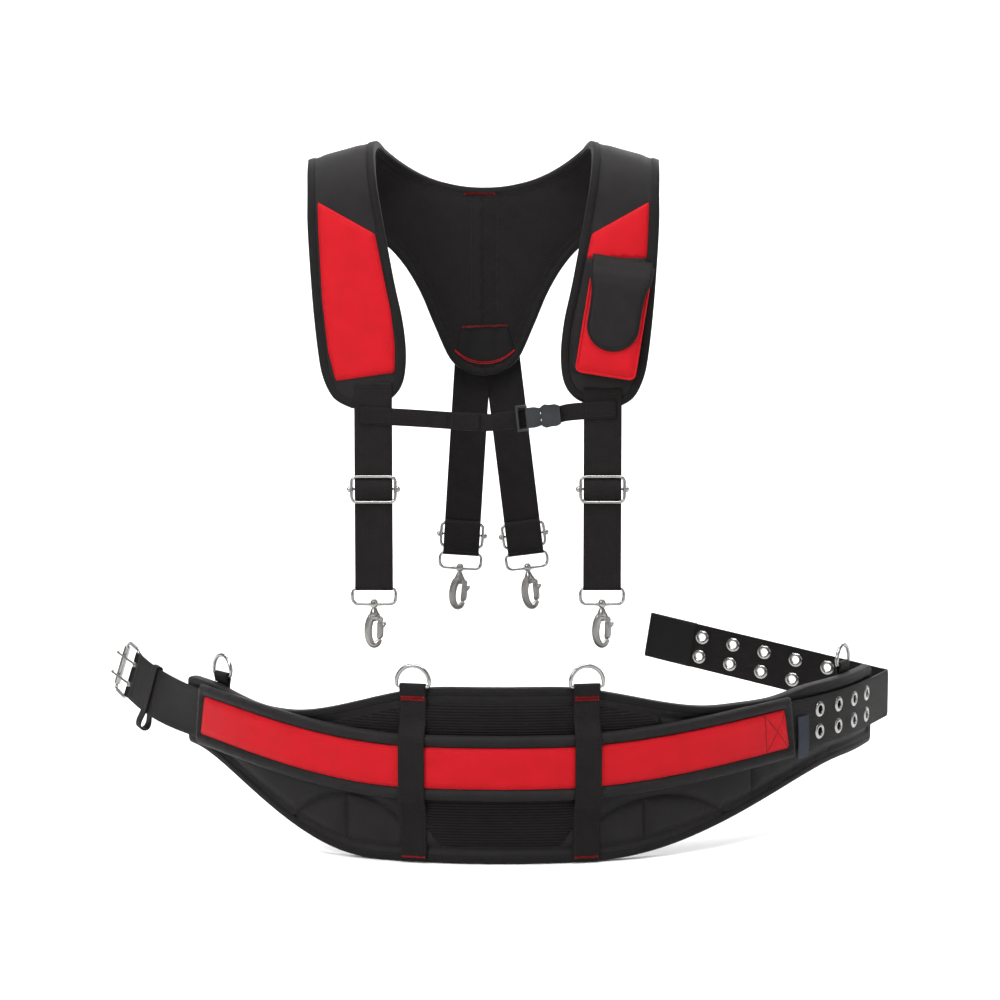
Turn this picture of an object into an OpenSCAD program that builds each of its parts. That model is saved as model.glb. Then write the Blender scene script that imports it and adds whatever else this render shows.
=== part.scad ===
// Padded tool belt with suspenders.
// The belt stands on edge as it is worn, its front to +Y. The suspenders hang above it, unclipped.
// Origin: middle of the lumbar pad's inner face. X runs along the pad, -Y points out of it, Z is up.

/* [Lumbar pad] */
// Plan radius of the left half, at the inner face
left_r = 450; // [430:10:470]
// Plan radius of the right half, at the inner face
right_r = 520; // [500:10:540]
// Thickness of the pad with its covers
pad_t = 13; // [11:1:14]
// Length along the curve of the left wing
left_wing = 470; // [450:5:480]
// Length along the curve of the right wing
right_wing = 615; // [590:5:625]
// Height of the pad's top edge at the middle
pad_top_z = 106; // [100:1:112]
// Depth of the pad's bottom edge at the middle
pad_bottom_z = -104; // [-110:1:-96]

/* [Belt sleeve] */
// Height of the sleeve that carries the pouches
sleeve_h = 78; // [72:1:84]
// Height of its red panel
red_h = 50; // [44:1:56]

/* [Belt strap] */
// Width of the strap
strap_w = 62; // [58:1:64]
// Thickness of the strap
strap_t = 4; // [3:0.5:5]
// Length of the tail past its bend
tail_len = 342; // [330:2:350]
// Spacing of the grommets along the strap
grommet_step = 46; // [44:1:48]
// Spacing of the two grommet rows
grommet_rows = 28; // [26:1:30]
// Hole radius of a grommet
grommet_r = 5; // [4:0.25:5.5]

/* [Roller buckle] */
// Wire radius of the buckle frame
buckle_wire_r = 2; // [1.75:0.25:2.25]
// Distance between the heel bar and the roller bar
buckle_reach = 42; // [38:1:46]
// Outside radius of the roller
roller_r = 4.3; // [4:0.1:4.6]

/* [Rings and hooks] */
// Wire radius of a D-ring
ring_wire_r = 2; // [1.75:0.25:2.25]
// Radius of a D-ring's bow, to the middle of its wire
ring_bow_r = 20; // [19:0.5:21]
// Width of the suspender webbing
web_w = 46; // [44:1:48]
// Thickness of the suspender webbing
web_t = 1.8; // [1.5:0.1:2]

/* [Suspenders] */
// Distance from the middle plane of the shoulders to a pad's outer face
shoulder_r = 70; // [66:1:74]
// Thickness of the shoulder pads and the yoke
harness_t = 10; // [8:1:12]
// Slope of the shoulders, in degrees
shoulder_slope = 15.5; // [13:0.5:18]

/* [Hidden] */
$fn = 48;
arc_fn = 360;
far = 400;
clear = 0.05;
black = "#262424";
red = "#d8252c";
steel = "#c4c2bd";

// Layers of the belt, as offsets outward from the pad's inner face
liner_t = 2;
cover_t = 2;
bind_t = 0.8;
bind_w = 9;
strap_off = pad_t + 1.5;
sleeve_off = 24;
strap_room = strap_t + 1.8;
panel_t = 1.2;
loop_t = 2.2;
outline_steps = 40;

// Belt ends, measured along the curve
sleeve_left = 430;
sleeve_right = 388;
sleeve_slant = 10;
panel_gap = 12;
strap_lap = 62;
strap_front_z = 35;
strap_leave = 62;
strap_run = 100;
bend_r = 13;
tail_turn = 154.4;
tail_rise = 9.4;

// Back loops and rings
loop_s = 100;
loop_w = 32;
fold_wall = 2.05;
back_fold_off = strap_off + 1.8;
back_fold_z = 107;
side_left_s = -401;
side_right_s = 535;
tab_w = 30;
tab_rise = 11;

// Buckle end of the strap
heel = [-496, 365, 58.7];
heel_turn = 119;
heel_rise = 10;
heel_roll = 14;
bar_half = 34;
prong_z = grommet_rows / 2;
keeper_back = 68;
keeper_drop = 20;

// Suspenders
mid_x = -20;
mid_y = 154;
crest_z = 792.3;
axis_z = crest_z - shoulder_r / cos(shoulder_slope);
front_face = mid_y - shoulder_r;
rear_face = mid_y + shoulder_r;
web_front_y = front_face - 2;
web_rear_y = rear_face + 0.5;
// Each hanging strap: x of its foot, y of its front face, z of its foot, z of its top, lean, slider rise
hang = [[-153, web_front_y, 213, 462, 0, 120], [124, web_front_y, 213, 455, 0, 120],
    [-50, web_rear_y, 240, 500, 3.6, 23], [33, web_rear_y + 2.1, 240, 500, -7, 23]];
back_ply = [50, 50, 0, 0];
buckle_at = [45.5, web_front_y - 6.2, 421];
buckle_tilt = 6;
pocket_at = [148, front_face - panel_t - 0.2, 611];
pocket_lean = 9;
pocket_w = 72;
pocket_d = 16;
pocket_top = 25;
pocket_h = 143;

function unit(v) = v / norm(v);
function turn(s, r) = s / r * 180 / PI;
function belt_r(s) = s < 0 ? left_r : right_r;
function belt_x(s) = belt_r(s) * sin(turn(s, belt_r(s)));
function ease(x, a, b) = let (t = min(1, max(0, (x - a) / (b - a)))) t * t * (3 - 2 * t);
function pad_top(s) = s < 0
    ? pad_top_z - 41 * ease(-s, 60, 275) + 18 * ease(-s, 290, 430)
    : pad_top_z - 34 * ease(s, 60, 275) + 9 * ease(s, 340, 440);
function pad_bottom(s) = s < 0
    ? pad_bottom_z + 101 * ease(-s, 150, 450)
    : pad_bottom_z + 82 * ease(s, 110, 500);
function sleeve_z(s) = s < 0 ? 11.5 + 30 * ease(-s, 100, 430) : 11.5 + 24 * ease(s, 60, 420);
function bezier(p, t) = pow(1 - t, 3) * p[0] + 3 * pow(1 - t, 2) * t * p[1]
    + 3 * (1 - t) * t * t * p[2] + pow(t, 3) * p[3];
function spline(a, b, c, d, t) = 0.5 * (2 * b + (c - a) * t + (2 * a - 5 * b + 4 * c - d) * t * t
    + (3 * b - a - 3 * c + d) * t * t * t);
function smooth(p, n) = concat([for (i = [0 : len(p) - 2]) for (k = [0 : n - 1])
    spline(p[max(0, i - 1)], p[i], p[i + 1], p[min(len(p) - 1, i + 2)], k / n)], [p[len(p) - 1]]);
// A closed anticlockwise outline, moved inward by d
function inset(p, d) = [for (i = [0 : len(p) - 1])
    let (n = len(p), t = unit(p[(i + 1) % n] - p[(i + n - 1) % n])) p[i] + d * [-t[1], t[0]]];
function flip(p) = [for (i = [len(p) - 1 : -1 : 0]) [-p[i][0], p[i][1]]];

function stations(s0, s1) = [for (i = [0 : outline_steps]) s0 + (s1 - s0) * i / outline_steps];
// Outline of the pad between two stations, drawn past its ends, which the layers cut square
function pad_outline(d) = concat(
    [for (s = stations(-left_wing - 20, right_wing + 20)) [belt_x(s), pad_bottom(s) + d]],
    [for (s = stations(right_wing + 20, -left_wing - 20)) [belt_x(s), pad_top(s) - d]]);
// Strip of height h that follows the sleeve, its ends slanted
function strip_outline(s0, s1, h) = concat(
    [for (s = stations(s0, s1)) [belt_x(s), sleeve_z(s) - h / 2]],
    [for (s = stations(s1 - sleeve_slant, s0 + sleeve_slant)) [belt_x(s), sleeve_z(s) + h / 2]]);

module sector(r, off0, off1, a0, a1) {
    translate([0, r, 0]) rotate([0, 0, a0 - 90])
        rotate_extrude(angle = a1 - a0, $fn = arc_fn)
            translate([r + off0, -far / 2]) square([off1 - off0, far]);
}

// Curved layer of the belt between two offsets and two stations
module layer(off0, off1, s0, s1) {
    if (s0 < 0) sector(left_r, off0, off1, turn(s0, left_r), min(0, turn(s1, left_r)));
    if (s1 > 0) sector(right_r, off0, off1, max(0, turn(s0, right_r)), turn(s1, right_r));
    if (s0 < -1 && s1 > 1) translate([-0.5, -off1, -far / 2]) cube([1, off1 - off0, far]);
}

module prism(p, y0, y1) {
    translate([0, y1, 0]) rotate([90, 0, 0]) linear_extrude(y1 - y0) polygon(p);
}

module belt_band(off0, off1, s0, s1, p) {
    intersection() {
        layer(off0, off1, s0, s1);
        prism(p, -60, 600);
    }
}

module pad_layer(off0, off1) {
    belt_band(off0, off1, -left_wing + bind_t, right_wing - bind_t, pad_outline(bind_t));
}

// Puts children at station s, at an offset from the inner face, with -Y outward
module on_belt(s, off, z) {
    a = turn(s, belt_r(s));
    r = belt_r(s) + off;
    translate([r * sin(a), belt_r(s) - r * cos(a), z]) rotate([0, 0, a]) children();
}

// A piece w wide along the belt, its section given as offset and height
module belt_section(s, w, p) {
    r = belt_r(s);
    translate([0, r, 0]) rotate([0, 0, turn(s - w / 2, r) - 90])
        rotate_extrude(angle = turn(w, r), $fn = arc_fn) translate([r, 0]) polygon(p);
}

module bar(r, len) {
    rotate([0, 90, 0]) cylinder(r = r, h = len, center = true);
}

module fold_tube(r, wall, len) {
    difference() {
        bar(r + clear + wall, len);
        bar(r + clear, len + 2);
    }
}

module lumbar_foam() {
    color("#3a3a3a") pad_layer(liner_t, pad_t - cover_t);
}

module lumbar_outer_cover() {
    color(black) pad_layer(pad_t - cover_t, pad_t);
}

module lumbar_mesh_liner() {
    color("#303030") pad_layer(0, liner_t);
}

module lumbar_binding() {
    color("#1c1c1c") difference() {
        belt_band(-bind_t, pad_t + bind_t, -left_wing, right_wing, pad_outline(0));
        belt_band(-5, pad_t + 5, -left_wing + bind_w, right_wing - bind_w, pad_outline(bind_w));
        pad_layer(0, pad_t);
    }
}

module belt_sleeve_foam() {
    color("#2e2e2e") {
        belt_band(strap_off + strap_room, sleeve_off, -sleeve_left - 10, sleeve_right + 10,
            strip_outline(-sleeve_left, sleeve_right, sleeve_h));
        belt_band(strap_off, strap_off + strap_room, -sleeve_left + strap_lap + 2, sleeve_right - strap_lap,
            strip_outline(-sleeve_left, sleeve_right, sleeve_h));
    }
}

module belt_red_panel() {
    color(red) belt_band(sleeve_off, sleeve_off + panel_t, -sleeve_left, sleeve_right,
        strip_outline(-sleeve_left + panel_gap, sleeve_right - panel_gap, red_h));
}

module sleeve_bindings() {
    color("#1c1c1c") difference() {
        belt_band(sleeve_off, sleeve_off + panel_t + 0.3, -sleeve_left - 10, sleeve_right + 10,
            strip_outline(-sleeve_left, sleeve_right, sleeve_h));
        belt_band(sleeve_off - 1, sleeve_off + 9, -sleeve_left, sleeve_right,
            strip_outline(-sleeve_left + panel_gap - 1, sleeve_right - panel_gap + 1, red_h + 1));
    }
}

// Webbing sewn down the pad over the sleeve, folded round a D-ring at its top
module back_loop(s) {
    o = pad_t + 1.1;
    top_z = sleeve_z(s) + sleeve_h / 2;
    low_z = sleeve_z(s) - sleeve_h / 2;
    color(black) {
        belt_section(s, loop_w, [[o, pad_bottom(s) + 2], [o + loop_t, pad_bottom(s) + 2],
            [o + loop_t, low_z - 20], [sleeve_off + 2 + loop_t, low_z - 2],
            [sleeve_off + 2 + loop_t, top_z + 2], [o + loop_t, top_z + 30],
            [o + loop_t, back_fold_z - 2.6], [o, back_fold_z - 2.6], [o, top_z + 28],
            [sleeve_off + 2, top_z + 1], [sleeve_off + 2, low_z - 1], [o, low_z - 18]]);
        on_belt(s, back_fold_off, back_fold_z) fold_tube(ring_wire_r, fold_wall, loop_w);
    }
}

// Short tab sewn inside the pad's top edge, folded round a side D-ring
module side_tab(s) {
    z = pad_top(s);
    color(black) {
        belt_section(s, tab_w, [[-3, z - 28], [-bind_t - 0.4, z - 28], [-bind_t - 0.4, z + 2.4],
            [1, z + 2.4], [1, z + tab_rise - 2.6], [-3, z + tab_rise - 2.6]]);
        on_belt(s, -1, z + tab_rise) fold_tube(ring_wire_r, fold_wall, tab_w);
    }
}

module d_ring() {
    w = ring_wire_r;
    color(steel) {
        bar(w, 2 * ring_bow_r);
        translate([0, 0, 5]) rotate([90, 0, 0])
            rotate_extrude(angle = 180) translate([ring_bow_r, 0]) circle(w);
        for (side = [-1, 1]) translate([side * ring_bow_r, 0, 0]) {
            cylinder(r = w, h = 5);
            sphere(w);
        }
    }
}

module back_ring(s) {
    on_belt(s, back_fold_off, back_fold_z) d_ring();
}

module side_ring(s) {
    on_belt(s, -1, pad_top(s) + tab_rise) d_ring();
}

// The buckle strap's middle line and the frame that it carries
strap_s0 = -sleeve_left + strap_lap;
strap_mid = left_r + strap_off + strap_t / 2;
lead = 94;
notch_deep = 9;
start_a = turn(strap_s0, left_r);
heel_dir = [cos(heel_turn) * cos(heel_rise), sin(heel_turn) * cos(heel_rise), sin(heel_rise)];
lead_in = [
    [strap_mid * sin(start_a), left_r - strap_mid * cos(start_a), sleeve_z(strap_s0)],
    [strap_mid * sin(start_a) - lead * cos(start_a), left_r - strap_mid * cos(start_a) - lead * sin(start_a),
        sleeve_z(strap_s0) + 4],
    heel - (notch_deep + lead) * heel_dir,
    heel - notch_deep * heel_dir];
function path_dir(t) = unit(bezier(lead_in, min(1, t + 0.01)) - bezier(lead_in, max(0, t - 0.01)));
function path_up(t) =
    let (d = path_dir(t), u = unit([0, 0, 1] - d[2] * d), roll = heel_roll * ease(t, 0.1, 0.68))
    cos(roll) * u - sin(roll) * cross(u, d);
function ring_at(t) = let (c = bezier(lead_in, t), u = path_up(t), n = cross(u, path_dir(t)))
    [for (k = [[-1, -1], [1, -1], [1, 1], [-1, 1]]) c + k[0] * strap_w / 2 * u + k[1] * strap_t / 2 * n];

module swept_strap(steps) {
    rings = [for (i = [0 : steps]) ring_at(i / steps)];
    points = [for (r = rings) for (p = r) p];
    sides = [for (i = [0 : steps - 1]) for (k = [0 : 3]) let (a = 4 * i + k, b = 4 * i + (k + 1) % 4)
        each [[a, b, b + 4], [a, b + 4, a + 4]]];
    polyhedron(points, concat([[3, 2, 1, 0]], sides, [[for (k = [0 : 3]) 4 * steps + k]]));
}

// Buckle frame: X along the strap, Y out of its face, Z across it
module at_heel() {
    translate(heel) rotate([0, 0, heel_turn]) rotate([0, -heel_rise, 0]) rotate([heel_roll, 0, 0]) children();
}

module upright(r, z0, z1) {
    translate([0, 0, z0]) cylinder(r = r, h = z1 - z0);
}

module tube(r0, r1, z0, z1) {
    difference() {
        upright(r1, z0, z1);
        upright(r0, z0 - 1, z1 + 1);
    }
}

// One stretch of the strap's fold round the heel bar, between the notches for the prongs
module heel_fold(z0, z1) {
    r = buckle_wire_r + clear;
    tube(r, r + 2.3, z0, z1);
    translate([-notch_deep - 0.5, -strap_t / 2, z0]) cube([notch_deep - 2.7, strap_t, z1 - z0]);
}

module buckle_strap() {
    notch = 7.4;
    color(black) {
        swept_strap(16);
        at_heel() {
            heel_fold(prong_z + notch / 2, strap_w / 2);
            heel_fold(-prong_z + notch / 2, prong_z - notch / 2);
            heel_fold(-strap_w / 2, -prong_z - notch / 2);
        }
    }
}

module buckle_frame() {
    r = buckle_wire_r;
    c = 2.8;
    color(steel) at_heel() {
        upright(r, -bar_half + c, bar_half - c);
        translate([buckle_reach, 0, 0]) upright(r, -bar_half + c, bar_half - c);
        for (side = [-1, 1]) translate([c, 0, side * bar_half])
            rotate([0, 90, 0]) upright(r, 0, buckle_reach - 2 * c);
        for (q = [[c, 1, 90], [buckle_reach - c, 1, 0], [buckle_reach - c, -1, -90], [c, -1, 180]])
            translate([q[0], 0, q[1] * (bar_half - c)]) rotate([90, 0, 0]) rotate([0, 0, q[2]])
                rotate_extrude(angle = 90) translate([c, 0]) circle(r);
    }
}

module buckle_roller() {
    color("#d6d3cc") at_heel() translate([buckle_reach, 0, 0])
        tube(buckle_wire_r + clear, roller_r, -bar_half + 7, bar_half - 7);
}

module buckle_prong(side) {
    rise = asin((roller_r + 1.9) / buckle_reach);
    color("#8d8b80") at_heel() translate([0, 0, side * prong_z]) {
        tube(buckle_wire_r + clear, 4.3, -2.8, 2.8);
        rotate([0, 0, rise]) translate([3.6, 0, 0]) rotate([0, 90, 0]) {
            cylinder(r = 1.5, h = buckle_reach + 7);
            translate([0, 0, buckle_reach + 5]) cylinder(r1 = 1.5, r2 = 2.6, h = 4);
        }
    }
}

// Loose band round the doubled strap, hanging below it
module strap_keeper() {
    t = 1 - keeper_back / 285;
    d = path_dir(t);
    u = path_up(t);
    n = cross(u, d);
    c = bezier(lead_in, t);
    in_y = strap_t / 2 + 1;
    wall = 2;
    low = strap_w / 2 + keeper_drop;
    high = strap_w / 2 + 0.6;
    color(black) multmatrix([for (k = [0 : 2]) [d[k], n[k], u[k], c[k]]])
        difference() {
            translate([-6.5, -in_y - wall, -low - wall]) cube([13, 2 * (in_y + wall), low + high + 2 * wall]);
            translate([-8, -in_y, -low]) cube([16, 2 * in_y, low + high]);
        }
}

// Tongue end of the strap: round the pad, straight past it, bent back, then rising to its tip
tongue_mid = right_r + strap_off + strap_t / 2;
leave = [tongue_mid * sin(strap_leave), right_r - tongue_mid * cos(strap_leave), strap_front_z];
run_end = leave + strap_run * [cos(strap_leave), sin(strap_leave), 0];
bend_mid = run_end + bend_r * [-sin(strap_leave), cos(strap_leave), 0];
tail_start = bend_mid + bend_r * [sin(tail_turn), -cos(tail_turn), 0];
front_holes = [for (k = [0 : 3])
    strap_leave - turn(tongue_mid * 13.6 * PI / 180 - k * grommet_step, tongue_mid)];
tail_holes = [for (k = [0 : 5]) tail_len - 81 - k * grommet_step];
// How far a hole lies along the straight run, from the angle it would have on the arc
function past_leave(a) = (a - strap_leave) * PI / 180 * tongue_mid;

module on_tail() {
    translate(tail_start) rotate([0, 0, tail_turn]) rotate([0, -tail_rise, 0]) children();
}

// Puts children at every grommet, with their axis along local Y
module at_grommets() {
    for (row = [-1, 1]) {
        for (a = [for (h = front_holes) if (h <= strap_leave) h])
            translate([tongue_mid * sin(a), right_r - tongue_mid * cos(a),
                strap_front_z + row * grommet_rows / 2])
                rotate([0, 0, a]) children();
        for (a = [for (h = front_holes) if (h > strap_leave) h])
            translate(leave + past_leave(a) * [cos(strap_leave), sin(strap_leave), 0]
                + [0, 0, row * grommet_rows / 2]) rotate([0, 0, strap_leave]) children();
        for (x = tail_holes) on_tail() translate([x, 0, row * grommet_rows / 2]) children();
    }
}

// The strap's two sides in plan, d outward and d inward of its middle line: its arc, or its run and bend
function round_trip(side, d) = concat(side(d), let (p = side(-d)) [for (i = [len(p) - 1 : -1 : 0]) p[i]]);
arc_side = function (d) let (first = turn(sleeve_right - strap_lap + 1, right_r))
    [for (i = [0 : 24]) let (a = first + (strap_leave - first) * i / 24)
        [0, right_r] + (tongue_mid + d) * [sin(a), -cos(a)]];
bend_side = function (d) concat(
    [[leave[0], leave[1]] + d * [sin(strap_leave), -cos(strap_leave)]],
    [for (i = [0 : 12]) let (a = strap_leave + (tail_turn - strap_leave) * i / 12)
        [bend_mid[0], bend_mid[1]] + (bend_r + d) * [sin(a), -cos(a)]],
    [[tail_start[0], tail_start[1]] + 2 * tail_foot * [cos(tail_turn), sin(tail_turn)]
        + d * [sin(tail_turn), -cos(tail_turn)]]);
tail_foot = 8;

module pierced() {
    color(black) difference() {
        children();
        at_grommets() rotate([90, 0, 0]) cylinder(r = grommet_r + 0.7, h = strap_t + 6, center = true);
    }
}

module upright_strap(outline) {
    translate([0, 0, strap_front_z - strap_w / 2]) linear_extrude(strap_w) polygon(outline);
}

module tongue_strap_front() {
    pierced() upright_strap(round_trip(arc_side, strap_t / 2));
}

module tongue_strap_bend() {
    pierced() difference() {
        upright_strap(round_trip(bend_side, strap_t / 2));
        on_tail() translate([tail_foot, -20, -60]) cube([60, 40, 120]);
    }
}

module tongue_strap_tail() {
    pierced() on_tail() translate([tail_foot, -strap_t / 2, -strap_w / 2])
        cube([tail_len - tail_foot, strap_t, strap_w]);
}

module tongue_tip_wrap() {
    wrap = 70;
    color("#1c1c1c") on_tail() difference() {
        translate([tail_len - wrap, -strap_t / 2 - 1, -strap_w / 2 - 0.6])
            cube([wrap + 1, strap_t + 2, strap_w + 1.2]);
        translate([tail_len - wrap - 1, -strap_t / 2, -strap_w / 2]) cube([wrap + 1, strap_t, strap_w]);
    }
}

module grommets() {
    r = grommet_r;
    h = strap_t / 2 + 0.1;
    color(steel) at_grommets() rotate([90, 0, 0]) rotate_extrude()
        polygon([[r, h + 0.6], [r + 0.6, h + 1.1], [r + 3.6, h + 1.1], [r + 4.8, h + 0.4], [r + 4.8, h],
            [r + 0.6, h], [r + 0.6, -h], [r + 4.8, -h], [r + 4.8, -h - 0.4], [r + 3.6, -h - 1.1],
            [r + 0.6, -h - 1.1], [r, -h - 0.6]]);
}

module care_tag() {
    o = strap_off + strap_t + 1.6;
    color("#23252b") belt_section(sleeve_right + 14, 22, [[o, -6], [o + 0.6, -6], [o + 0.6, 44], [o, 44]]);
}

// Solid in the shape of the wearer's shoulders, right of the middle plane
module shoulder_solid(r) {
    translate([0, mid_y, axis_z]) rotate([0, shoulder_slope, 0]) rotate([90, 0, 90])
        translate([0, 0, -60]) linear_extrude(far) {
            circle(r, $fn = 96);
            translate([-r, -500]) square([2 * r, 500]);
        }
}

module half_harness(grow) {
    intersection() {
        difference() {
            shoulder_solid(shoulder_r + grow);
            shoulder_solid(shoulder_r - harness_t - grow);
        }
        translate([0, 0, 400]) cube([300, 400, 500]);
    }
}

module whole_harness(grow) {
    half_harness(grow);
    mirror([1, 0, 0]) half_harness(grow);
}

// Half outlines, to the right of the middle
pad_outer = [[158, 431], [180, 443], [193, 468], [199, 500], [205, 560], [210, 640], [211, 690],
    [214, 740], [215, 800]];
pad_inner = [[136, 800], [134, 755], [130, 710], [122, 660], [108, 583], [98, 536], [94, 495],
    [98, 462], [112, 443], [134, 434]];
front_shape = concat(smooth(pad_outer, 3), smooth(pad_inner, 3));
neck = [for (i = [0 : 9]) let (x = 135 * (1 - i / 9)) [x, 702 + 58 * pow(x / 135, 2.2)]];
yoke_side = [[0, 467], [20, 471], [42, 487], [63, 532], [80, 572], [101, 607], [126, 633],
    [165, 656], [200, 682], [213, 715], [215, 800]];
yoke_half = concat(smooth(yoke_side, 3), [[136, 800]], neck);
yoke_shape = concat(yoke_half, flip([for (i = [1 : len(yoke_half) - 2]) yoke_half[i]]));
red_shape = [[108, 480], [180, 467], [189, 500], [196, 560], [200, 640], [200, 684], [140, 648],
    [128, 630], [117, 578], [108, 530]];

module front_pad(grow, d) {
    intersection() {
        half_harness(grow);
        prism(inset(front_shape, d), 0, mid_y);
    }
}

module back_pad(grow, d) {
    intersection() {
        whole_harness(grow);
        prism(inset(yoke_shape, d), mid_y, 400);
    }
}

module on_side(side) {
    translate([mid_x, 0, 0]) mirror([side < 0 ? 1 : 0, 0, 0]) children();
}

module shoulder_pad(side) {
    color(black) on_side(side) front_pad(0, bind_t);
}

module back_yoke() {
    color("#2b2b2b") translate([mid_x, 0, 0]) back_pad(0, bind_t);
}

module red_panel(side) {
    color(red) on_side(side) intersection() {
        difference() {
            shoulder_solid(shoulder_r + panel_t);
            shoulder_solid(shoulder_r);
        }
        prism(red_shape, 0, mid_y);
    }
}

// Space that the four hanging webbings take out of the bindings they cross
module webbing_room() {
    for (i = [0 : 3]) at_hang(i)
        translate([-web_w / 2 - 0.4, -3, 0]) cube([web_w + 0.8, web_t + 3.3, hang_len(i) + 0.4]);
}

module harness_bindings() {
    color("#1c1c1c") difference() {
        union() {
            for (side = [-1, 1]) on_side(side) difference() {
                front_pad(bind_t, 0);
                front_pad(0, bind_t);
                front_pad(4, 8);
            }
            translate([mid_x, 0, 0]) difference() {
                back_pad(bind_t, 0);
                back_pad(0, bind_t);
                back_pad(4, 8);
            }
        }
        webbing_room();
    }
}

module yoke_patch() {
    patch = [[-48, 500], [-34, 486], [0, 478], [34, 486], [48, 500], [44, 530], [-44, 530]];
    color(black) translate([mid_x, 0, 0]) prism(patch, rear_face + 4.8, rear_face + 6.4);
}

// Hanging straps: X across, Y into the strap, Z up from the fold at the foot
module at_hang(i) {
    translate([hang[i][0], hang[i][1], hang[i][2]]) rotate([0, hang[i][4], 0]) children();
}

function band_outline(p, h) = concat(
    [for (q = p) q - [0, h / 2]],
    [for (i = [len(p) - 1 : -1 : 0]) p[i] + [0, h / 2]]);
function hang_len(i) = (hang[i][3] - hang[i][2]) / cos(hang[i][4]);
loop_wire_r = 1.7;
fold_y = web_t + 0.15;

module hanging_webbing(i) {
    foot = loop_wire_r + clear + 0.3;
    color(black) at_hang(i) {
        translate([-web_w / 2, 0, foot]) cube([web_w, web_t, hang_len(i) - foot]);
        translate([-web_w / 2, fold_y + 0.15, foot]) cube([web_w, web_t, max(8, back_ply[i])]);
        translate([0, fold_y, 0]) fold_tube(loop_wire_r, 1.8, web_w);
    }
}

// Wire slider: a frame before the webbing and a centre bar behind it
module slider(i) {
    r = 1.85;
    half = 26.6;
    tall = 15.5;
    c = 6;
    y = -r - 0.35;
    color(steel) at_hang(i) translate([0, 0, hang[i][5]]) {
        for (side = [-1, 1]) {
            translate([0, y, side * tall]) bar(r, 2 * (half - c));
            translate([side * half, y, 0]) upright(r, -tall + c, tall - c);
            translate([side * (half + 2), web_t / 2, 0]) sphere(3.9);
        }
        for (q = [[1, 1, 0], [-1, 1, 90], [-1, -1, 180], [1, -1, 270]])
            translate([q[0] * (half - c), y, q[1] * (tall - c)]) rotate([90, 0, 0])
                mirror([0, 0, 1]) rotate([0, 0, q[2]]) rotate_extrude(angle = 90) translate([c, 0]) circle(r);
        translate([0, web_t + 0.35 + 1.5, 0]) bar(1.5, 2 * half + 4);
    }
}

loop_drop = 20;

// Wire loop through the webbing's fold, with the boss that the hook swivels in
module hook_loop(i) {
    r = loop_wire_r;
    half = 26.4;
    c = 8;
    boss = 3.6;
    color(steel) at_hang(i) translate([0, fold_y, 0]) {
        bar(r, 2 * half);
        for (side = [-1, 1]) {
            translate([side * half, 0, 0]) sphere(r);
            translate([side * half, 0, 0]) upright(r, -loop_drop + c, 0);
            translate([side * (half - c + boss) / 2, 0, -loop_drop]) bar(r, half - c - boss);
            translate([side * (half - c), 0, -loop_drop + c])
                rotate([90, 0, 0]) rotate([0, 0, side > 0 ? -90 : 180])
                    rotate_extrude(angle = 90) translate([c, 0]) circle(r);
        }
        translate([0, 0, -loop_drop]) tube(2.05, 4.4, -4, 4);
    }
}

// Snap hook: X across, Z up, origin at the middle of its boss
hook_y = 3;
pivot_x = 7.2;
pivot_z = -19;
module at_hook(i) {
    at_hang(i) translate([0, fold_y, -loop_drop]) children();
}

function egg(a, w, h) = [w * sin(a) * (1 - 0.1 * cos(a)), h * cos(a)];

module hook_plate(p, y0, y1) {
    translate([0, y1, 0]) rotate([90, 0, 0]) linear_extrude(y1 - y0) polygon(p);
}

module hook(i) {
    outer = [for (a = [0 : 12 : 348]) egg(-a, 11.2, 22.6) + [0, -31.5]];
    slot = [for (a = [0 : 15 : 345]) egg(-a, 4.2, 15) + [0.4, -34]];
    mouth = [[2, -21.5], [2, -45.2], [14, -45.2], [14, -21.5]];
    color(steel) at_hook(i) {
        upright(2, -11, 5.2);
        translate([0, 0, 4.3]) upright(3.3, 0, 1.6);
        translate([0, 0, -12]) cylinder(r1 = 6.2, r2 = 3.6, h = 7.6);
        difference() {
            hook_plate(outer, -hook_y, hook_y);
            hook_plate(slot, -5, 5);
            hook_plate(mouth, -5, 5);
            translate([pivot_x, 0, pivot_z]) rotate([90, 0, 0]) cylinder(r = 4.2, h = 3.4, center = true);
            translate([3, -1.7, -26]) cube([10, 3.4, 8]);
        }
        translate([pivot_x, 0, pivot_z]) rotate([90, 0, 0]) cylinder(r = 1.2, h = 2 * hook_y, center = true);
    }
}

module gate(i) {
    arm = [[-1.6, -7.4], [-2.2, -24], [0.4, -25.6], [2.6, -24.6], [3.4, -14], [3, -7.4]];
    thumb = [[2.6, -9], [6, -6.4], [5.2, -4.4], [3, -6]];
    color("#a9a7a2") at_hook(i) translate([pivot_x, 0, pivot_z]) {
        rotate([90, 0, 0]) difference() {
            union() {
                cylinder(r = 3.4, h = 2.6, center = true);
                translate([-1.6, -8, -1.3]) cube([4.6, 6, 2.6]);
            }
            cylinder(r = 1.25, h = 4, center = true);
        }
        hook_plate(arm, -2.6, 2.6);
        hook_plate(thumb, -2.4, 2.4);
    }
}

// Chest strap
chest_h = 21;
chest_y = web_front_y - web_t - 0.4;

module chest_band(p, y0, y1) {
    prism(band_outline(p, chest_h), chest_y + y0, chest_y + y1);
}

module chest_webbing_left() {
    color(black) {
        chest_band([[-169, 423], [-20.5, 414], [41, 420.5]], 0, web_t);
        chest_band([[-62, 416.6], [-24, 414.3]], -web_t, 0.2);
    }
}

module chest_webbing_right() {
    color(black) {
        chest_band([[71.5, 423.7], [83.5, 426.4], [140, 430]], 0, web_t);
    }
}

// Buckle pieces: X along the strap to the right, Z across, Y into the wearer
module at_buckle() {
    translate(buckle_at) rotate([0, -buckle_tilt, 0]) children();
}

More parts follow.
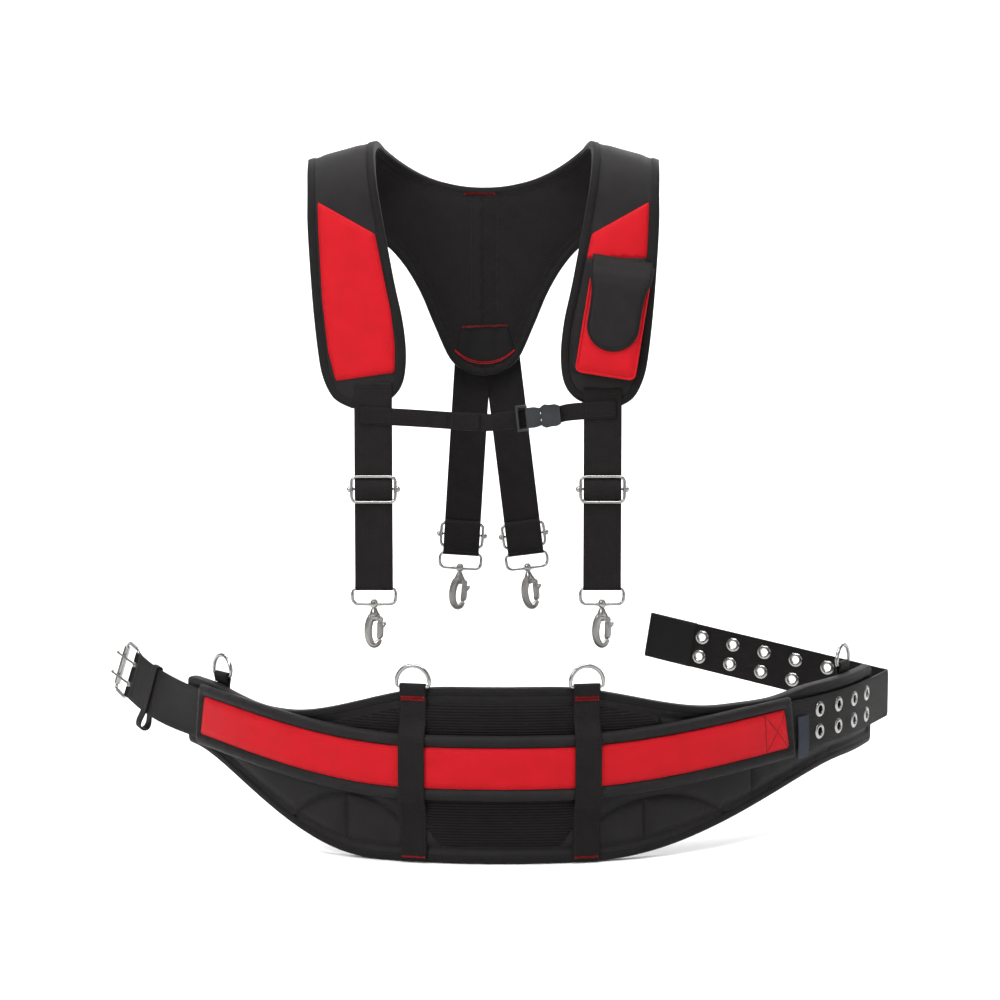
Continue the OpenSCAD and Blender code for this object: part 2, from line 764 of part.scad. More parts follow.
module chest_buckle_female() {
    plate = [[4, -11], [8, -13.2], [22, -13.2], [27, -11], [27, 11], [22, 13.2], [8, 13.2], [4, 11]];
    color("#3b3d3e") at_buckle() difference() {
        hook_plate(plate, -4.6, 7.9);
        translate([0, -3, -16]) cube([20.5, 6, 32]);
        translate([24, 3.9, -11.2]) cube([6, 3, 22.4]);
        translate([0, 4.6, -20]) cube([20.5, 5, 40]);
    }
}

module chest_buckle_male() {
    body = [[-14, -12.4], [-4, -12.4], [3.5, -10.6], [3.5, 10.6], [-4, 12.4], [-14, 12.4]];
    guide = [[3, -3], [17, -2], [17, 2], [3, 3]];
    color("#4a4c4d") at_buckle() {
        difference() {
            union() {
                hook_plate(body, -4.2, 2.6);
                hook_plate(guide, -1.6, 1.6);
            }
            for (side = [-1, 1]) {
                translate([0.2, 0, side * 7]) rotate([90, 0, 0]) cylinder(r = 2.3, h = 3.8, center = true);
                translate([0.2, -1.9, side * 8.2 - 3.8]) cube([6, 3.8, 7.6]);
            }
        }
        for (side = [-1, 1]) {
            translate([-26, -3.2, side * 14.4 - 1.2]) cube([14, 11.6, 2.4]);
            translate([0.2, 0, side * 7]) rotate([90, 0, 0]) cylinder(r = 1, h = 5, center = true);
        }
        translate([-14.4, -3.2, -14]) cube([2.4, 5.8, 28]);
        translate([-26, -3.2, -14]) cube([2.6, 3.2, 28]);
        translate([-26, 6.7, -14]) cube([4, 1.7, 28]);
    }
}

module male_arm(side) {
    arm = [[-1, -1.6], [6, -1.4], [13, 0.6], [18.6, 1.6], [19, 3.6], [13, 6.6], [9, 7.4], [5, 5.4],
        [1.6, 1.8]];
    color("#4a4c4d") at_buckle() translate([0.2, 0, side * 7]) mirror([0, 0, side < 0 ? 1 : 0])
        difference() {
            union() {
                rotate([90, 0, 0]) cylinder(r = 1.9, h = 3, center = true);
                hook_plate(arm, -1.5, 1.5);
            }
            rotate([90, 0, 0]) cylinder(r = 1.05, h = 6, center = true);
        }
}

// Phone pocket on the right pad: X across, Y into the pad, Z up from the flap's seam
module at_pocket() {
    translate(pocket_at) rotate([0, pocket_lean, 0]) children();
}

module phone_pocket() {
    wall = 1.6;
    color(red) at_pocket() difference() {
        translate([-pocket_w / 2, -pocket_d, -pocket_h]) cube([pocket_w, pocket_d, pocket_h - pocket_top]);
        translate([-pocket_w / 2 + wall, -pocket_d + wall, -pocket_h + wall])
            cube([pocket_w - 2 * wall, pocket_d - 2 * wall, pocket_h]);
    }
}

module pocket_flap() {
    t = 2.4;
    y = -pocket_d - 0.6;
    tongue = concat([[-37, -24], [-31, -40], [-30, -82]],
        [for (a = [0 : 15 : 180]) [-30 * cos(a), -82 - 28 * sin(a)]], [[30, -82], [31, -40], [37, -24]]);
    color(black) at_pocket() {
        translate([0, -1.5, 0]) bar(1.3, 74);
        hook_plate(tongue, y - t, y);
        translate([-37, 0, 0]) rotate([90, 0, 90]) linear_extrude(74)
            polygon([[-0.6, -1], [y, -25], [y - t, -25], [y - t, -22], [-2.4, 1]]);
    }
}

lumbar_foam();
lumbar_outer_cover();
lumbar_mesh_liner();
lumbar_binding();
belt_sleeve_foam();
belt_red_panel();
sleeve_bindings();
back_loop(-loop_s);  // back_loop_left
back_loop(loop_s);  // back_loop_right
side_tab(side_left_s);  // side_tab_left
side_tab(side_right_s);  // side_tab_right
buckle_strap();
tongue_strap_front();
tongue_strap_bend();
tongue_strap_tail();
tongue_tip_wrap();
grommets();
care_tag();
strap_keeper();
buckle_frame();
buckle_roller();
buckle_prong(1);  // buckle_prong_upper
buckle_prong(-1);  // buckle_prong_lower
back_ring(-loop_s);  // d_ring_back_left
back_ring(loop_s);  // d_ring_back_right
side_ring(side_left_s);  // d_ring_side_left
side_ring(side_right_s);  // d_ring_side_right
shoulder_pad(-1);  // shoulder_pad_left
shoulder_pad(1);  // shoulder_pad_right
back_yoke();
red_panel(-1);  // red_panel_left
red_panel(1);  // red_panel_right
harness_bindings();
yoke_patch();
hanging_webbing(0);  // front_webbing_left
hanging_webbing(1);  // front_webbing_right
hanging_webbing(2);  // rear_webbing_left
hanging_webbing(3);  // rear_webbing_right
chest_webbing_left();
chest_webbing_right();
phone_pocket();
pocket_flap();
chest_buckle_female();
chest_buckle_male();
male_arm(1);  // male_arm_upper
male_arm(-1);  // male_arm_lower
slider(0);  // slider_front_left
slider(1);  // slider_front_right
slider(2);  // slider_rear_left
slider(3);  // slider_rear_right
hook_loop(0);  // hook_loop_front_left
hook_loop(1);  // hook_loop_front_right
hook_loop(2);  // hook_loop_rear_left
hook_loop(3);  // hook_loop_rear_right
hook(0);  // hook_front_left
hook(1);  // hook_front_right
hook(2);  // hook_rear_left
hook(3);  // hook_rear_right
gate(0);  // gate_front_left
gate(1);  // gate_front_right
gate(2);  // gate_rear_left
gate(3);  // gate_rear_right
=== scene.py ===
import math

import bmesh
import bpy
import numpy as np
from mathutils import Matrix, Vector, noise
from mathutils.bvhtree import BVHTree
from mathutils.geometry import delaunay_2d_cdt


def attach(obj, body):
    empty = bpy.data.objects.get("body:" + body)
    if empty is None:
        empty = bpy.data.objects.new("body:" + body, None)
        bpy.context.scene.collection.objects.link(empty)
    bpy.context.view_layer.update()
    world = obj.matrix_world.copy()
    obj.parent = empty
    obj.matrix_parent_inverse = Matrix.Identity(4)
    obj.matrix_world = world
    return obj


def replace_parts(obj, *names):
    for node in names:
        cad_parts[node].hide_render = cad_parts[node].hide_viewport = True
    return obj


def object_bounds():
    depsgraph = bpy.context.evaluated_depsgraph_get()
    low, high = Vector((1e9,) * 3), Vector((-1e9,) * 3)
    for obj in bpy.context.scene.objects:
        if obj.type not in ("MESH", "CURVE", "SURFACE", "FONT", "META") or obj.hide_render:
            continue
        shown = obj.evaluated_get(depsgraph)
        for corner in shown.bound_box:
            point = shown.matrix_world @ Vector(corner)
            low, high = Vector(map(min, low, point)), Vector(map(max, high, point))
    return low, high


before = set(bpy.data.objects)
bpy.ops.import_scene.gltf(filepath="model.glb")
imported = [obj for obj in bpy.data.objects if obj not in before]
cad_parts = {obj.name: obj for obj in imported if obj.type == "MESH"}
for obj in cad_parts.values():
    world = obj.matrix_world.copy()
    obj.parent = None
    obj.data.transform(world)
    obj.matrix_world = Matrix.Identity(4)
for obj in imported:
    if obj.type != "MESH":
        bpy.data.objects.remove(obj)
cad_box = [list(corner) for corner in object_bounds()]

# Lengths below are in millimetres, and piece() turns them into metres.
MM = 0.001

# Belt, as in the CAD frame: stations s along the pad, heights z, and offsets out of its inner face
LEFT_R, RIGHT_R = 450, 520
LEFT_WING, RIGHT_WING = 470, 615
PAD_T = 13
STRAP_OFF = PAD_T + 1.5
STRAP_W, STRAP_T = 62, 4
SLEEVE_LEFT, SLEEVE_RIGHT = -430, 388
SLEEVE_H, RED_H, SLEEVE_SLANT, PANEL_GAP = 78, 50, 10, 12
LOOP_S, LOOP_W = 100, 32
RING_R, RING_BOW = 2, 20

# Suspenders
MID_X, MID_Y = -20, 154
SHOULDER_R, SLOPE = 70, math.radians(15.5)
AXIS_Z = 792.3 - SHOULDER_R / math.cos(SLOPE)
WEB_W, WEB_T = 46, 1.8


# ---------------------------------------------------------------- small mathematics

def unit(v):
    v = np.asarray(v, float)
    return v / np.linalg.norm(v, axis=-1, keepdims=True)


def ease(x, a, b):
    t = np.clip((np.asarray(x, float) - a) / (b - a), 0, 1)
    return t * t * (3 - 2 * t)


def belt_r(s):
    return np.where(np.asarray(s) < 0, LEFT_R, RIGHT_R)


def pad_top(s):
    s = np.asarray(s, float)
    left = 106 - 41 * ease(-s, 60, 275) + 18 * ease(-s, 290, 430)
    right = 106 - 34 * ease(s, 60, 275) + 9 * ease(s, 340, 440)
    return np.where(s < 0, left, right)


def pad_bottom(s):
    s = np.asarray(s, float)
    return np.where(s < 0, -104 + 101 * ease(-s, 150, 450), -104 + 82 * ease(s, 110, 500))


def sleeve_z(s):
    s = np.asarray(s, float)
    return np.where(s < 0, 11.5 + 30 * ease(-s, 100, 430), 11.5 + 24 * ease(s, 60, 420))


def on_belt(points, off):
    """Points (station, height) at an offset from the pad's inner face."""
    s, z = np.asarray(points, float).T[:2]
    r = belt_r(s)
    a = s / r
    return np.column_stack([(r + off) * np.sin(a), r - (r + off) * np.cos(a), z + 0 * s])


def belt_frame(s, off, z):
    """Origin and axes at a station: along the belt, inward, and up."""
    r = float(belt_r(s))
    a = s / r
    origin = np.array([(r + off) * math.sin(a), r - (r + off) * math.cos(a), z])
    return origin, np.array([[math.cos(a), math.sin(a), 0], [-math.sin(a), math.cos(a), 0], [0, 0, 1.0]])


def placed(points, place):
    """Local points moved to an (origin, axes) place."""
    origin, axes = place
    return origin + np.asarray(points, float) @ axes


def turned(axis, degrees):
    return np.array(Matrix.Rotation(math.radians(degrees), 3, axis)).T


def lengths(path):
    """Distance along a path at each of its points."""
    return np.concatenate([[0], np.cumsum(np.linalg.norm(np.diff(path, axis=0), axis=1))])


def upright(line, y=0.0):
    """Flat (x, z) points stood up at a depth y."""
    line = np.asarray(line, float)
    return np.column_stack([line[:, 0], np.full(len(line), float(y)), line[:, 1]])


def ring_line(outline):
    """A closed outline as a line that ends where it starts."""
    return np.vstack([outline, outline[:1]])


def resample(points, step, closed=False):
    """Points at even distances along a line."""
    p = ring_line(np.asarray(points, float)) if closed else np.asarray(points, float)
    at = lengths(p)
    t = np.linspace(0, at[-1], max(2, round(at[-1] / step)) + 1)
    q = np.column_stack([np.interp(t, at, p[:, k]) for k in range(p.shape[1])])
    return q[:-1] if closed else q


def spline(points, n=6):
    """A smooth curve through the points."""
    p = np.asarray(points, float)
    out = []
    for i in range(len(p) - 1):
        a, b, c, d = p[max(0, i - 1)], p[i], p[i + 1], p[min(len(p) - 1, i + 2)]
        for k in range(n):
            t = k / n
            out.append(0.5 * (2 * b + (c - a) * t + (2 * a - 5 * b + 4 * c - d) * t * t
                              + (3 * b - a - 3 * c + d) * t ** 3))
    return np.array(out + [p[-1]])


def arc(centre, r, a0, a1, n=12):
    a = np.radians(np.linspace(a0, a1, n))
    return np.column_stack([centre[0] + r * np.cos(a), centre[1] + r * np.sin(a)])


def rounded(points, r, n=5):
    """A closed outline with its corners rounded to about r."""
    p = np.asarray(points, float)
    out = []
    for i in range(len(p)):
        a, b, c = p[i - 1], p[i], p[(i + 1) % len(p)]
        u, v = unit(a - b), unit(c - b)
        cut = min(r, np.linalg.norm(a - b) / 2.01, np.linalg.norm(c - b) / 2.01)
        for k in range(n + 1):
            t = k / n
            out.append((1 - t) ** 2 * (b + u * cut) + 2 * t * (1 - t) * b + t * t * (b + v * cut))
    return np.array(out)


def inward(outline):
    """Unit vectors pointing into a closed anticlockwise outline."""
    t = unit(np.roll(outline, -1, 0) - np.roll(outline, 1, 0))
    return np.column_stack([-t[:, 1], t[:, 0]])


def segments(lines, closed=False):
    out = [np.stack([l, np.roll(l, -1, 0)], 1) if closed else np.stack([l[:-1], l[1:]], 1) for l in lines]
    return np.vstack(out) if out else np.zeros((0, 2, 2))


def distance(points, segs):
    """Distance from each point to the nearest segment."""
    if not len(segs):
        return np.full(len(points), 1e3)
    a, ab = segs[:, 0], segs[:, 1] - segs[:, 0]
    size = np.maximum((ab ** 2).sum(1), 1e-9)
    out = []
    for chunk in np.array_split(points, max(1, len(points) // 1500)):
        ap = chunk[:, None] - a
        t = np.clip((ap * ab).sum(2) / size, 0, 1)
        out.append(np.sqrt(((ap - t[..., None] * ab) ** 2).sum(2).min(1)))
    return np.concatenate(out)


def edge_distance(points, outline, step):
    """Distance from each point to a closed outline."""
    return distance(points, segments([resample(outline, step, True)], True))


def inside(points, outline):
    """Whether each point lies within a closed outline."""
    x, y = points.T
    hit = np.zeros(len(points), bool)
    for (x0, y0), (x1, y1) in zip(outline, np.roll(outline, -1, 0)):
        if y0 != y1:
            hit ^= ((y0 > y) != (y1 > y)) & (x < (x1 - x0) * (y - y0) / (y1 - y0) + x0)
    return hit


def ripples(points, size, seed):
    """Smooth noise from -1 to 1 over the points, in waves of about this size."""
    return np.array([noise.noise(Vector((p[0] / size + seed, p[1] / size, seed * 0.37 + (p[2] / size if len(p) > 2
                     else 0)))) for p in np.asarray(points, float)])


def crown(d, width, power=2.2):
    """Height of a stuffed edge, from 0 at its seam to 1 at this distance."""
    return 1 - (1 - np.clip(d / width, 0, 1)) ** power


# ---------------------------------------------------------------- materials

class Look:
    """A procedural material. Fabrics read the attribute "cloth": millimetres across and along the weave."""

    def __init__(self, name, colour, rough, **sockets):
        self.material = bpy.data.materials.new(name)
        self.material.use_nodes = True
        self.material.diffuse_color = (*colour, 1)
        self.tree = self.material.node_tree
        self.tree.nodes.clear()
        self.shader = self.add("ShaderNodeBsdfPrincipled")
        self.link(self.shader.outputs[0], self.add("ShaderNodeOutputMaterial").inputs[0])
        self.shader.inputs["Base Color"].default_value = (*colour, 1)
        self.shader.inputs["Roughness"].default_value = rough
        for socket, value in sockets.items():
            self.shader.inputs[socket.replace("_", " ")].default_value = value
        self.height = None

    def add(self, kind, **values):
        node = self.tree.nodes.new(kind)
        for key, value in values.items():
            if key in node.inputs:
                node.inputs[key].default_value = value
            else:
                setattr(node, key, value)
        return node

    def link(self, a, b):
        self.tree.links.new(a, b)

    def math(self, operation, a, b=0.0):
        node = self.add("ShaderNodeMath", operation=operation)
        for k, value in enumerate((a, b)):
            if isinstance(value, (int, float)):
                node.inputs[k].default_value = value
            else:
                self.link(value, node.inputs[k])
        return node.outputs[0]

    def cloth(self):
        return self.add("ShaderNodeAttribute", attribute_name="cloth").outputs["Vector"]

    def object(self):
        return self.add("ShaderNodeTexCoord").outputs["Object"]

    def turn(self, vector, degrees=0, scale=(1, 1, 1)):
        node = self.add("ShaderNodeMapping")
        self.link(vector, node.inputs["Vector"])
        node.inputs["Rotation"].default_value = (0, 0, math.radians(degrees))
        node.inputs["Scale"].default_value = scale
        return node.outputs[0]

    def waves(self, vector, pitch, direction):
        """Rounded ribs of this pitch in millimetres, from 0 to 1, across X or Y."""
        part = self.add("ShaderNodeSeparateXYZ")
        self.link(vector, part.inputs[0])
        turns = self.math("MULTIPLY", part.outputs[direction], math.tau / pitch)
        return self.math("MULTIPLY_ADD", self.math("SINE", turns), 0.5)

    def noise(self, vector, scale, detail=3, rough=0.55):
        node = self.add("ShaderNodeTexNoise", Scale=scale, Detail=detail, Roughness=rough)
        self.link(vector, node.inputs["Vector"])
        return node.outputs["Fac"]

    def shade(self, factor, dark, light):
        """Colour that runs from dark to light with the factor."""
        ramp = self.add("ShaderNodeValToRGB")
        ramp.color_ramp.elements[0].color = (*dark, 1)
        ramp.color_ramp.elements[1].color = (*light, 1)
        ramp.color_ramp.elements[0].position = 0.25
        ramp.color_ramp.elements[1].position = 0.75
        self.link(factor, ramp.inputs[0])
        self.link(ramp.outputs[0], self.shader.inputs["Base Color"])

    def rough(self, factor, low, high):
        node = self.add("ShaderNodeMapRange", data_type="FLOAT")
        node.inputs["To Min"].default_value = low
        node.inputs["To Max"].default_value = high
        self.link(factor, node.inputs["Value"])
        self.link(node.outputs[0], self.shader.inputs["Roughness"])

    def bump(self, height, depth, strength=1.0):
        """Relief of this depth in millimetres."""
        node = self.add("ShaderNodeBump", Strength=strength, Distance=depth * MM)
        self.link(height, node.inputs["Height"])
        if self.height is not None:
            self.link(self.height, node.inputs["Normal"])
        self.height = node.outputs[0]
        self.link(self.height, self.shader.inputs["Normal"])
        return self


def woven(name, dark, light, pitch, depth, rough, sheen, twill=0, gloss=0.14, crumple=0.9):
    """Plain weave: threads over and under each other, with uneven dye, a soft sheen, and painted shade that darkens
    the colour between the raised threads.
    """
    look = Look(name, light, rough, Sheen_Weight=sheen, Sheen_Roughness=0.35, Specular_IOR_Level=gloss)
    cloth = look.turn(look.cloth(), twill)
    warp = look.waves(cloth, pitch, 0)
    weft = look.waves(cloth, pitch, 1)
    thread = look.math("MAXIMUM", look.math("MULTIPLY", warp, look.math("SUBTRACT", 1.0, weft)),
                       look.math("MULTIPLY", weft, look.math("SUBTRACT", 1.0, warp)))
    cloud = look.noise(look.cloth(), 0.035, 4)
    fleck = look.noise(look.cloth(), 0.9, 2)
    # Painted shade: the colour is lighter on the raised threads and darker between them, mixed with uneven dye from
    # the cloud and fleck noise.
    dye_and_painted_shade = look.math("ADD", look.math("MULTIPLY", thread, 0.5),
                     look.math("ADD", look.math("MULTIPLY", cloud, 0.55), look.math("MULTIPLY", fleck, 0.2)))
    look.shade(dye_and_painted_shade, dark, light)
    look.rough(cloud, rough - 0.08, rough + 0.1)
    look.bump(cloud, crumple, 0.6)
    look.bump(thread, depth, 0.8)
    return look.material


def webbing(name, dark, light, rough=0.62, sheen=0.25):
    """Ribbed webbing: cords along the strap, crossed by finer rows, with painted shade in the grooves between them
    and uneven dye.
    """
    look = Look(name, light, rough, Sheen_Weight=sheen, Sheen_Roughness=0.4, Specular_IOR_Level=0.12)
    cords = look.waves(look.cloth(), 2.6, 0)
    rows = look.waves(look.cloth(), 1.5, 1)
    cloud = look.noise(look.cloth(), 0.05, 3)
    relief = look.math("ADD", look.math("MULTIPLY", cords, 0.45), look.math("MULTIPLY", rows, 0.55))
    # Painted shade: the colour follows the relief, darker in the grooves between cords and rows, mixed with uneven
    # dye from the cloud noise.
    dye_and_painted_shade = look.math("ADD", look.math("MULTIPLY", relief, 0.6), look.math("MULTIPLY", cloud, 0.5))
    look.shade(dye_and_painted_shade, dark, light)
    look.rough(cloud, rough - 0.08, rough + 0.08)
    look.bump(relief, 0.35, 0.9)
    return look.material


def spacer_mesh(name, dark, light, pitch, ribbed=0):
    """Spacer mesh: small holes in offset rows, with ribs where it is corded, and painted shade that darkens the holes
    and the grooves between ribs.
    """
    look = Look(name, light, 0.8, Sheen_Weight=0.03, Sheen_Roughness=0.5, Specular_IOR_Level=0.1)
    cells = look.add("ShaderNodeTexVoronoi", Scale=1 / pitch, Randomness=0.15, feature="F1")
    look.link(look.cloth(), cells.inputs["Vector"])
    hole = look.math("MINIMUM", look.math("MULTIPLY", cells.outputs["Distance"], 1.6), 1.0)
    net = look.math("SUBTRACT", 1.0, hole)
    cloud = look.noise(look.cloth(), 0.04, 3)
    solid = look.math("SUBTRACT", 1.0, net)
    height = solid
    if ribbed:
        height = look.math("ADD", look.math("MULTIPLY", solid, 0.3), look.waves(look.cloth(), ribbed, 1))
    # Painted shade: the holes and the grooves between ribs are coloured darker, mixed with uneven dye from the cloud
    # noise.
    look.shade(look.math("ADD", look.math("MULTIPLY", height, 0.6), look.math("MULTIPLY", cloud, 0.4)), dark, light)
    look.bump(height, 0.5, 0.9)
    return look.material


def metal(name, colour, rough, grain, relief=0.02):
    """Plated or cast metal with faint scratches and uneven polish."""
    look = Look(name, colour, rough, Metallic=1.0)
    cloud = look.noise(look.object(), 160, 4)
    look.shade(cloud, tuple(0.82 * c for c in colour), colour)
    look.rough(look.noise(look.object(), grain, 5, 0.7), rough - 0.08, rough + 0.14)
    look.bump(look.noise(look.object(), grain, 4), relief, 0.5)
    return look.material


def moulded(name, dark, light, rough):
    """Moulded plastic with a fine spark-eroded texture."""
    look = Look(name, light, rough, Specular_IOR_Level=0.5)
    cloud = look.noise(look.object(), 70, 3)
    look.shade(cloud, dark, light)
    look.rough(cloud, rough - 0.06, rough + 0.1)
    look.bump(look.noise(look.object(), 2600, 2), 0.04, 0.6)
    return look.material


def thread(name, dark, light):
    look = Look(name, light, 0.55, Sheen_Weight=0.05, Sheen_Roughness=0.3, Specular_IOR_Level=0.2)
    twist = look.waves(look.turn(look.cloth(), 35), 0.7, 0)
    # Painted shade: the colour is darker in the grooves of the twist and lighter on its ridges, mixed with random
    # tone from noise.
    look.shade(look.math("ADD", look.math("MULTIPLY", twist, 0.6), look.math("MULTIPLY", look.noise(
        look.object(), 500, 2), 0.4)), dark, light)
    look.bump(twist, 0.08, 0.8)
    return look.material


NYLON = woven("black_nylon", (0.0046, 0.0042, 0.0042), (0.0155, 0.0138, 0.0140), 1.5, 0.25, 0.55, 0.04)
RED = woven("red_nylon", (0.37, 0.0032, 0.0070), (0.54, 0.0060, 0.0135), 1.5, 0.25, 0.55, 0.02, gloss=0.12,
            crumple=1.6)
TAPE = woven("binding_tape", (0.0028, 0.0024, 0.0024), (0.0100, 0.0089, 0.0089), 1.1, 0.2, 0.6, 0.04, twill=45)
WEB = webbing("black_webbing", (0.0032, 0.0028, 0.0028), (0.0118, 0.0103, 0.0100), sheen=0.02)
MESH = spacer_mesh("spacer_mesh", (0.002, 0.002, 0.002), (0.0115, 0.010, 0.010), 2.4)
RIB_MESH = spacer_mesh("ribbed_mesh", (0.0015, 0.0015, 0.0015), (0.0105, 0.009, 0.009), 2.4, ribbed=3.4)
NICKEL = metal("nickel_wire", (0.385, 0.38, 0.37), 0.22, 900)
ZINC = metal("cast_zinc", (0.33, 0.32, 0.31), 0.27, 500, 0.05)
DARK_STEEL = metal("prong_steel", (0.27, 0.255, 0.235), 0.32, 900)
PLASTIC = moulded("buckle_plastic", (0.012, 0.0125, 0.0135), (0.026, 0.0275, 0.030), 0.42)
BLACK_THREAD = thread("black_thread", (0.003, 0.003, 0.003), (0.013, 0.012, 0.012))
RED_THREAD = thread("red_thread", (0.34, 0.005, 0.010), (0.60, 0.012, 0.022))
TAG = woven("woven_label", (0.008, 0.010, 0.015), (0.022, 0.028, 0.044), 0.9, 0.1, 0.45, 0.06)


# ---------------------------------------------------------------- mesh builders

def piece(name, points, faces, material, body, cloth=None, sharp=None, closed=True):
    """A mesh object from millimetre points, riding on a body."""
    data = bpy.data.meshes.new(name)
    data.from_pydata((np.asarray(points, float) * MM).tolist(), [], [tuple(int(i) for i in f) for f in faces])
    if cloth is not None:
        full = np.zeros((len(points), 3), np.float32)
        full[:, :np.shape(cloth)[1]] = cloth
        data.attributes.new("cloth", "FLOAT_VECTOR", "POINT").data.foreach_set("vector", full.ravel())
    data.validate()
    if closed:
        bm = bmesh.new()
        bm.from_mesh(data)
        bmesh.ops.recalc_face_normals(bm, faces=bm.faces)
        bm.to_mesh(data)
        bm.free()
    data.materials.append(material)
    data.shade_smooth()
    if sharp is not None:
        data.set_sharp_from_angle(angle=math.radians(sharp))
    ob = bpy.data.objects.new(name, data)
    bpy.context.scene.collection.objects.link(ob)
    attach(ob, body)
    return ob


def joined(parts):
    """Several (points, faces, cloth) meshes as one."""
    points, faces, cloth, start = [], [], [], 0
    for part in parts:
        p, f = part[0], part[1]
        points.append(p)
        faces += [tuple(i + start for i in g) for g in f]
        cloth.append(part[2] if len(part) > 2 else np.zeros((len(p), 2)))
        start += len(p)
    return np.vstack(points), faces, np.vstack(cloth)


def tube_faces(rows, columns, loop=False, open_ends=False):
    """Faces round a row of rings, with a cap on each end unless the row is a loop."""
    out = []
    for i in range(rows if loop else rows - 1):
        for k in range(columns):
            a, b = i * columns + k, i * columns + (k + 1) % columns
            c, d = ((i + 1) % rows) * columns + (k + 1) % columns, ((i + 1) % rows) * columns + k
            out.append((a, b, c, d))
    if not (loop or open_ends):
        out += [tuple(range(columns)), tuple(range(rows * columns - 1, (rows - 1) * columns - 1, -1))]
    return out


def fill(outline, step, lines=()):
    """Even triangles over a closed outline, with points along the given lines."""
    edge = resample(outline, step, closed=True)
    runs = [resample(line, step) for line in lines]
    lo, hi = edge.min(0), edge.max(0)
    rows = np.arange(lo[1] + step / 2, hi[1], step * 0.866)
    grid = np.array([(x + k % 2 * step / 2, y) for k, y in enumerate(rows) for x in np.arange(lo[0], hi[0], step)])
    segs = np.vstack([segments([edge], True), segments(runs)])
    grid = grid[inside(grid, edge)]
    grid = grid[distance(grid, segs) > 0.6 * step]
    points = np.vstack([edge, *runs, grid])
    links, start = [], len(edge)
    for run in runs:
        links += [(start + i, start + i + 1) for i in range(len(run) - 1)]
        start += len(run)
    out = delaunay_2d_cdt([Vector(p) for p in points], links, [list(range(len(edge)))], 1, 1e-5)
    return np.array([v[:] for v in out[0]]), [tuple(f) for f in out[2]]


def rim(tris):
    """Directed edges that have a triangle on one side only."""
    edges = {(t[i], t[(i + 1) % 3]) for t in tris for i in range(3)}
    return [(a, b) for a, b in edges if (b, a) not in edges]


def shell_faces(tris, n):
    """A triangulation of n points, its underside n points on, and the wall between them."""
    return list(tris) + [(c + n, b + n, a + n) for a, b, c in tris] + [(b, a, a + n, b + n) for a, b in rim(tris)]


def slab(points, tris, place, front, back):
    """A closed solid between two offsets over a flat triangulation."""
    solid = np.vstack([place(points, front), place(points, back)])
    return solid, shell_faces(tris, len(points)), np.vstack([points, points])


def keep(points, tris, wanted):
    """Only the triangles whose middle is wanted, with their points renumbered."""
    middles = points[np.array(tris)].mean(1)
    tris = [t for t, yes in zip(tris, wanted(middles)) if yes]
    used = sorted({i for t in tris for i in t})
    index = {old: new for new, old in enumerate(used)}
    return used, [tuple(index[i] for i in t) for t in tris]


def ribbon(path, across, width, thick, columns=12, closed=False):
    """A strap of rounded section along a path: points, faces and weave coordinates."""
    path = np.asarray(path, float)
    across = np.broadcast_to(unit(across), path.shape)
    along = np.gradient(path, axis=0)
    if closed:
        along = np.roll(path, -1, 0) - np.roll(path, 1, 0)
    out = unit(np.cross(across, unit(along)))
    r = thick / 2
    flat = np.linspace(-width / 2 + r, width / 2 - r, columns)
    bends = np.radians([54, 18, -18, -54])
    right = [(width / 2 - r + r * math.cos(a), r * math.sin(a)) for a in bends]
    section = np.array([(u, r) for u in flat] + right + [(u, -r) for u in flat[::-1]]
                       + [(-u, -v) for u, v in right])
    n, m = len(path), len(section)
    points = (path[:, None] + section[None, :, :1] * across[:, None] + section[None, :, 1:] * out[:, None])
    at = lengths(path)
    cloth = np.stack([np.broadcast_to(section[:, 0], (n, m)), np.broadcast_to(at[:, None], (n, m))], 2)
    return points.reshape(-1, 3), tube_faces(n, m, closed), cloth.reshape(-1, 2)


def wire(path, r, up, closed=False, sides=16):
    """A round wire along a path. up is a vector that is never along it."""
    path = np.asarray(path, float)
    along = np.roll(path, -1, 0) - np.roll(path, 1, 0) if closed else np.gradient(path, axis=0)
    along = unit(along)
    a = unit(np.cross(np.broadcast_to(np.asarray(up, float), path.shape), along))
    b = np.cross(along, a)
    r = np.broadcast_to(np.asarray(r, float), len(path))
    t = np.arange(sides) * math.tau / sides
    points = path[:, None] + r[:, None, None] * (np.cos(t)[None, :, None] * a[:, None]
                                                 + np.sin(t)[None, :, None] * b[:, None])
    return points.reshape(-1, 3), tube_faces(len(path), sides, closed)


def lathe(profile, sides=32, loop=False):
    """A solid of revolution about Z from (radius, height) points."""
    profile = np.asarray(profile, float)
    t = np.arange(sides) * math.tau / sides
    points = np.stack([np.cos(t)[None] * profile[:, :1], np.sin(t)[None] * profile[:, :1],
                       np.broadcast_to(profile[:, 1:], (len(profile), sides))], 2)
    return points.reshape(-1, 3), tube_faces(len(profile), sides, loop)


def capsule_ends(r, length, n=4):
    """Path offsets and radii of a bar with rounded ends."""
    a = np.radians(np.linspace(4, 90, n))
    start = np.column_stack([-length / 2 + r - r * np.cos(a), r * np.sin(a)])
    return np.vstack([start, np.column_stack([-start[::-1, 0], start[::-1, 1]])])


def round_bar(a, b, r, sides=16):
    """A straight bar from a to b with rounded ends."""
    a, b = np.asarray(a, float), np.asarray(b, float)
    mid, d = (a + b) / 2, b - a
    ends = capsule_ends(r, np.linalg.norm(d) + 2 * r)
    up = (0, 0, 1) if abs(unit(d)[2]) < 0.9 else (1, 0, 0)
    return wire(mid + ends[:, :1] * unit(d), ends[:, 1], up, sides=sides)


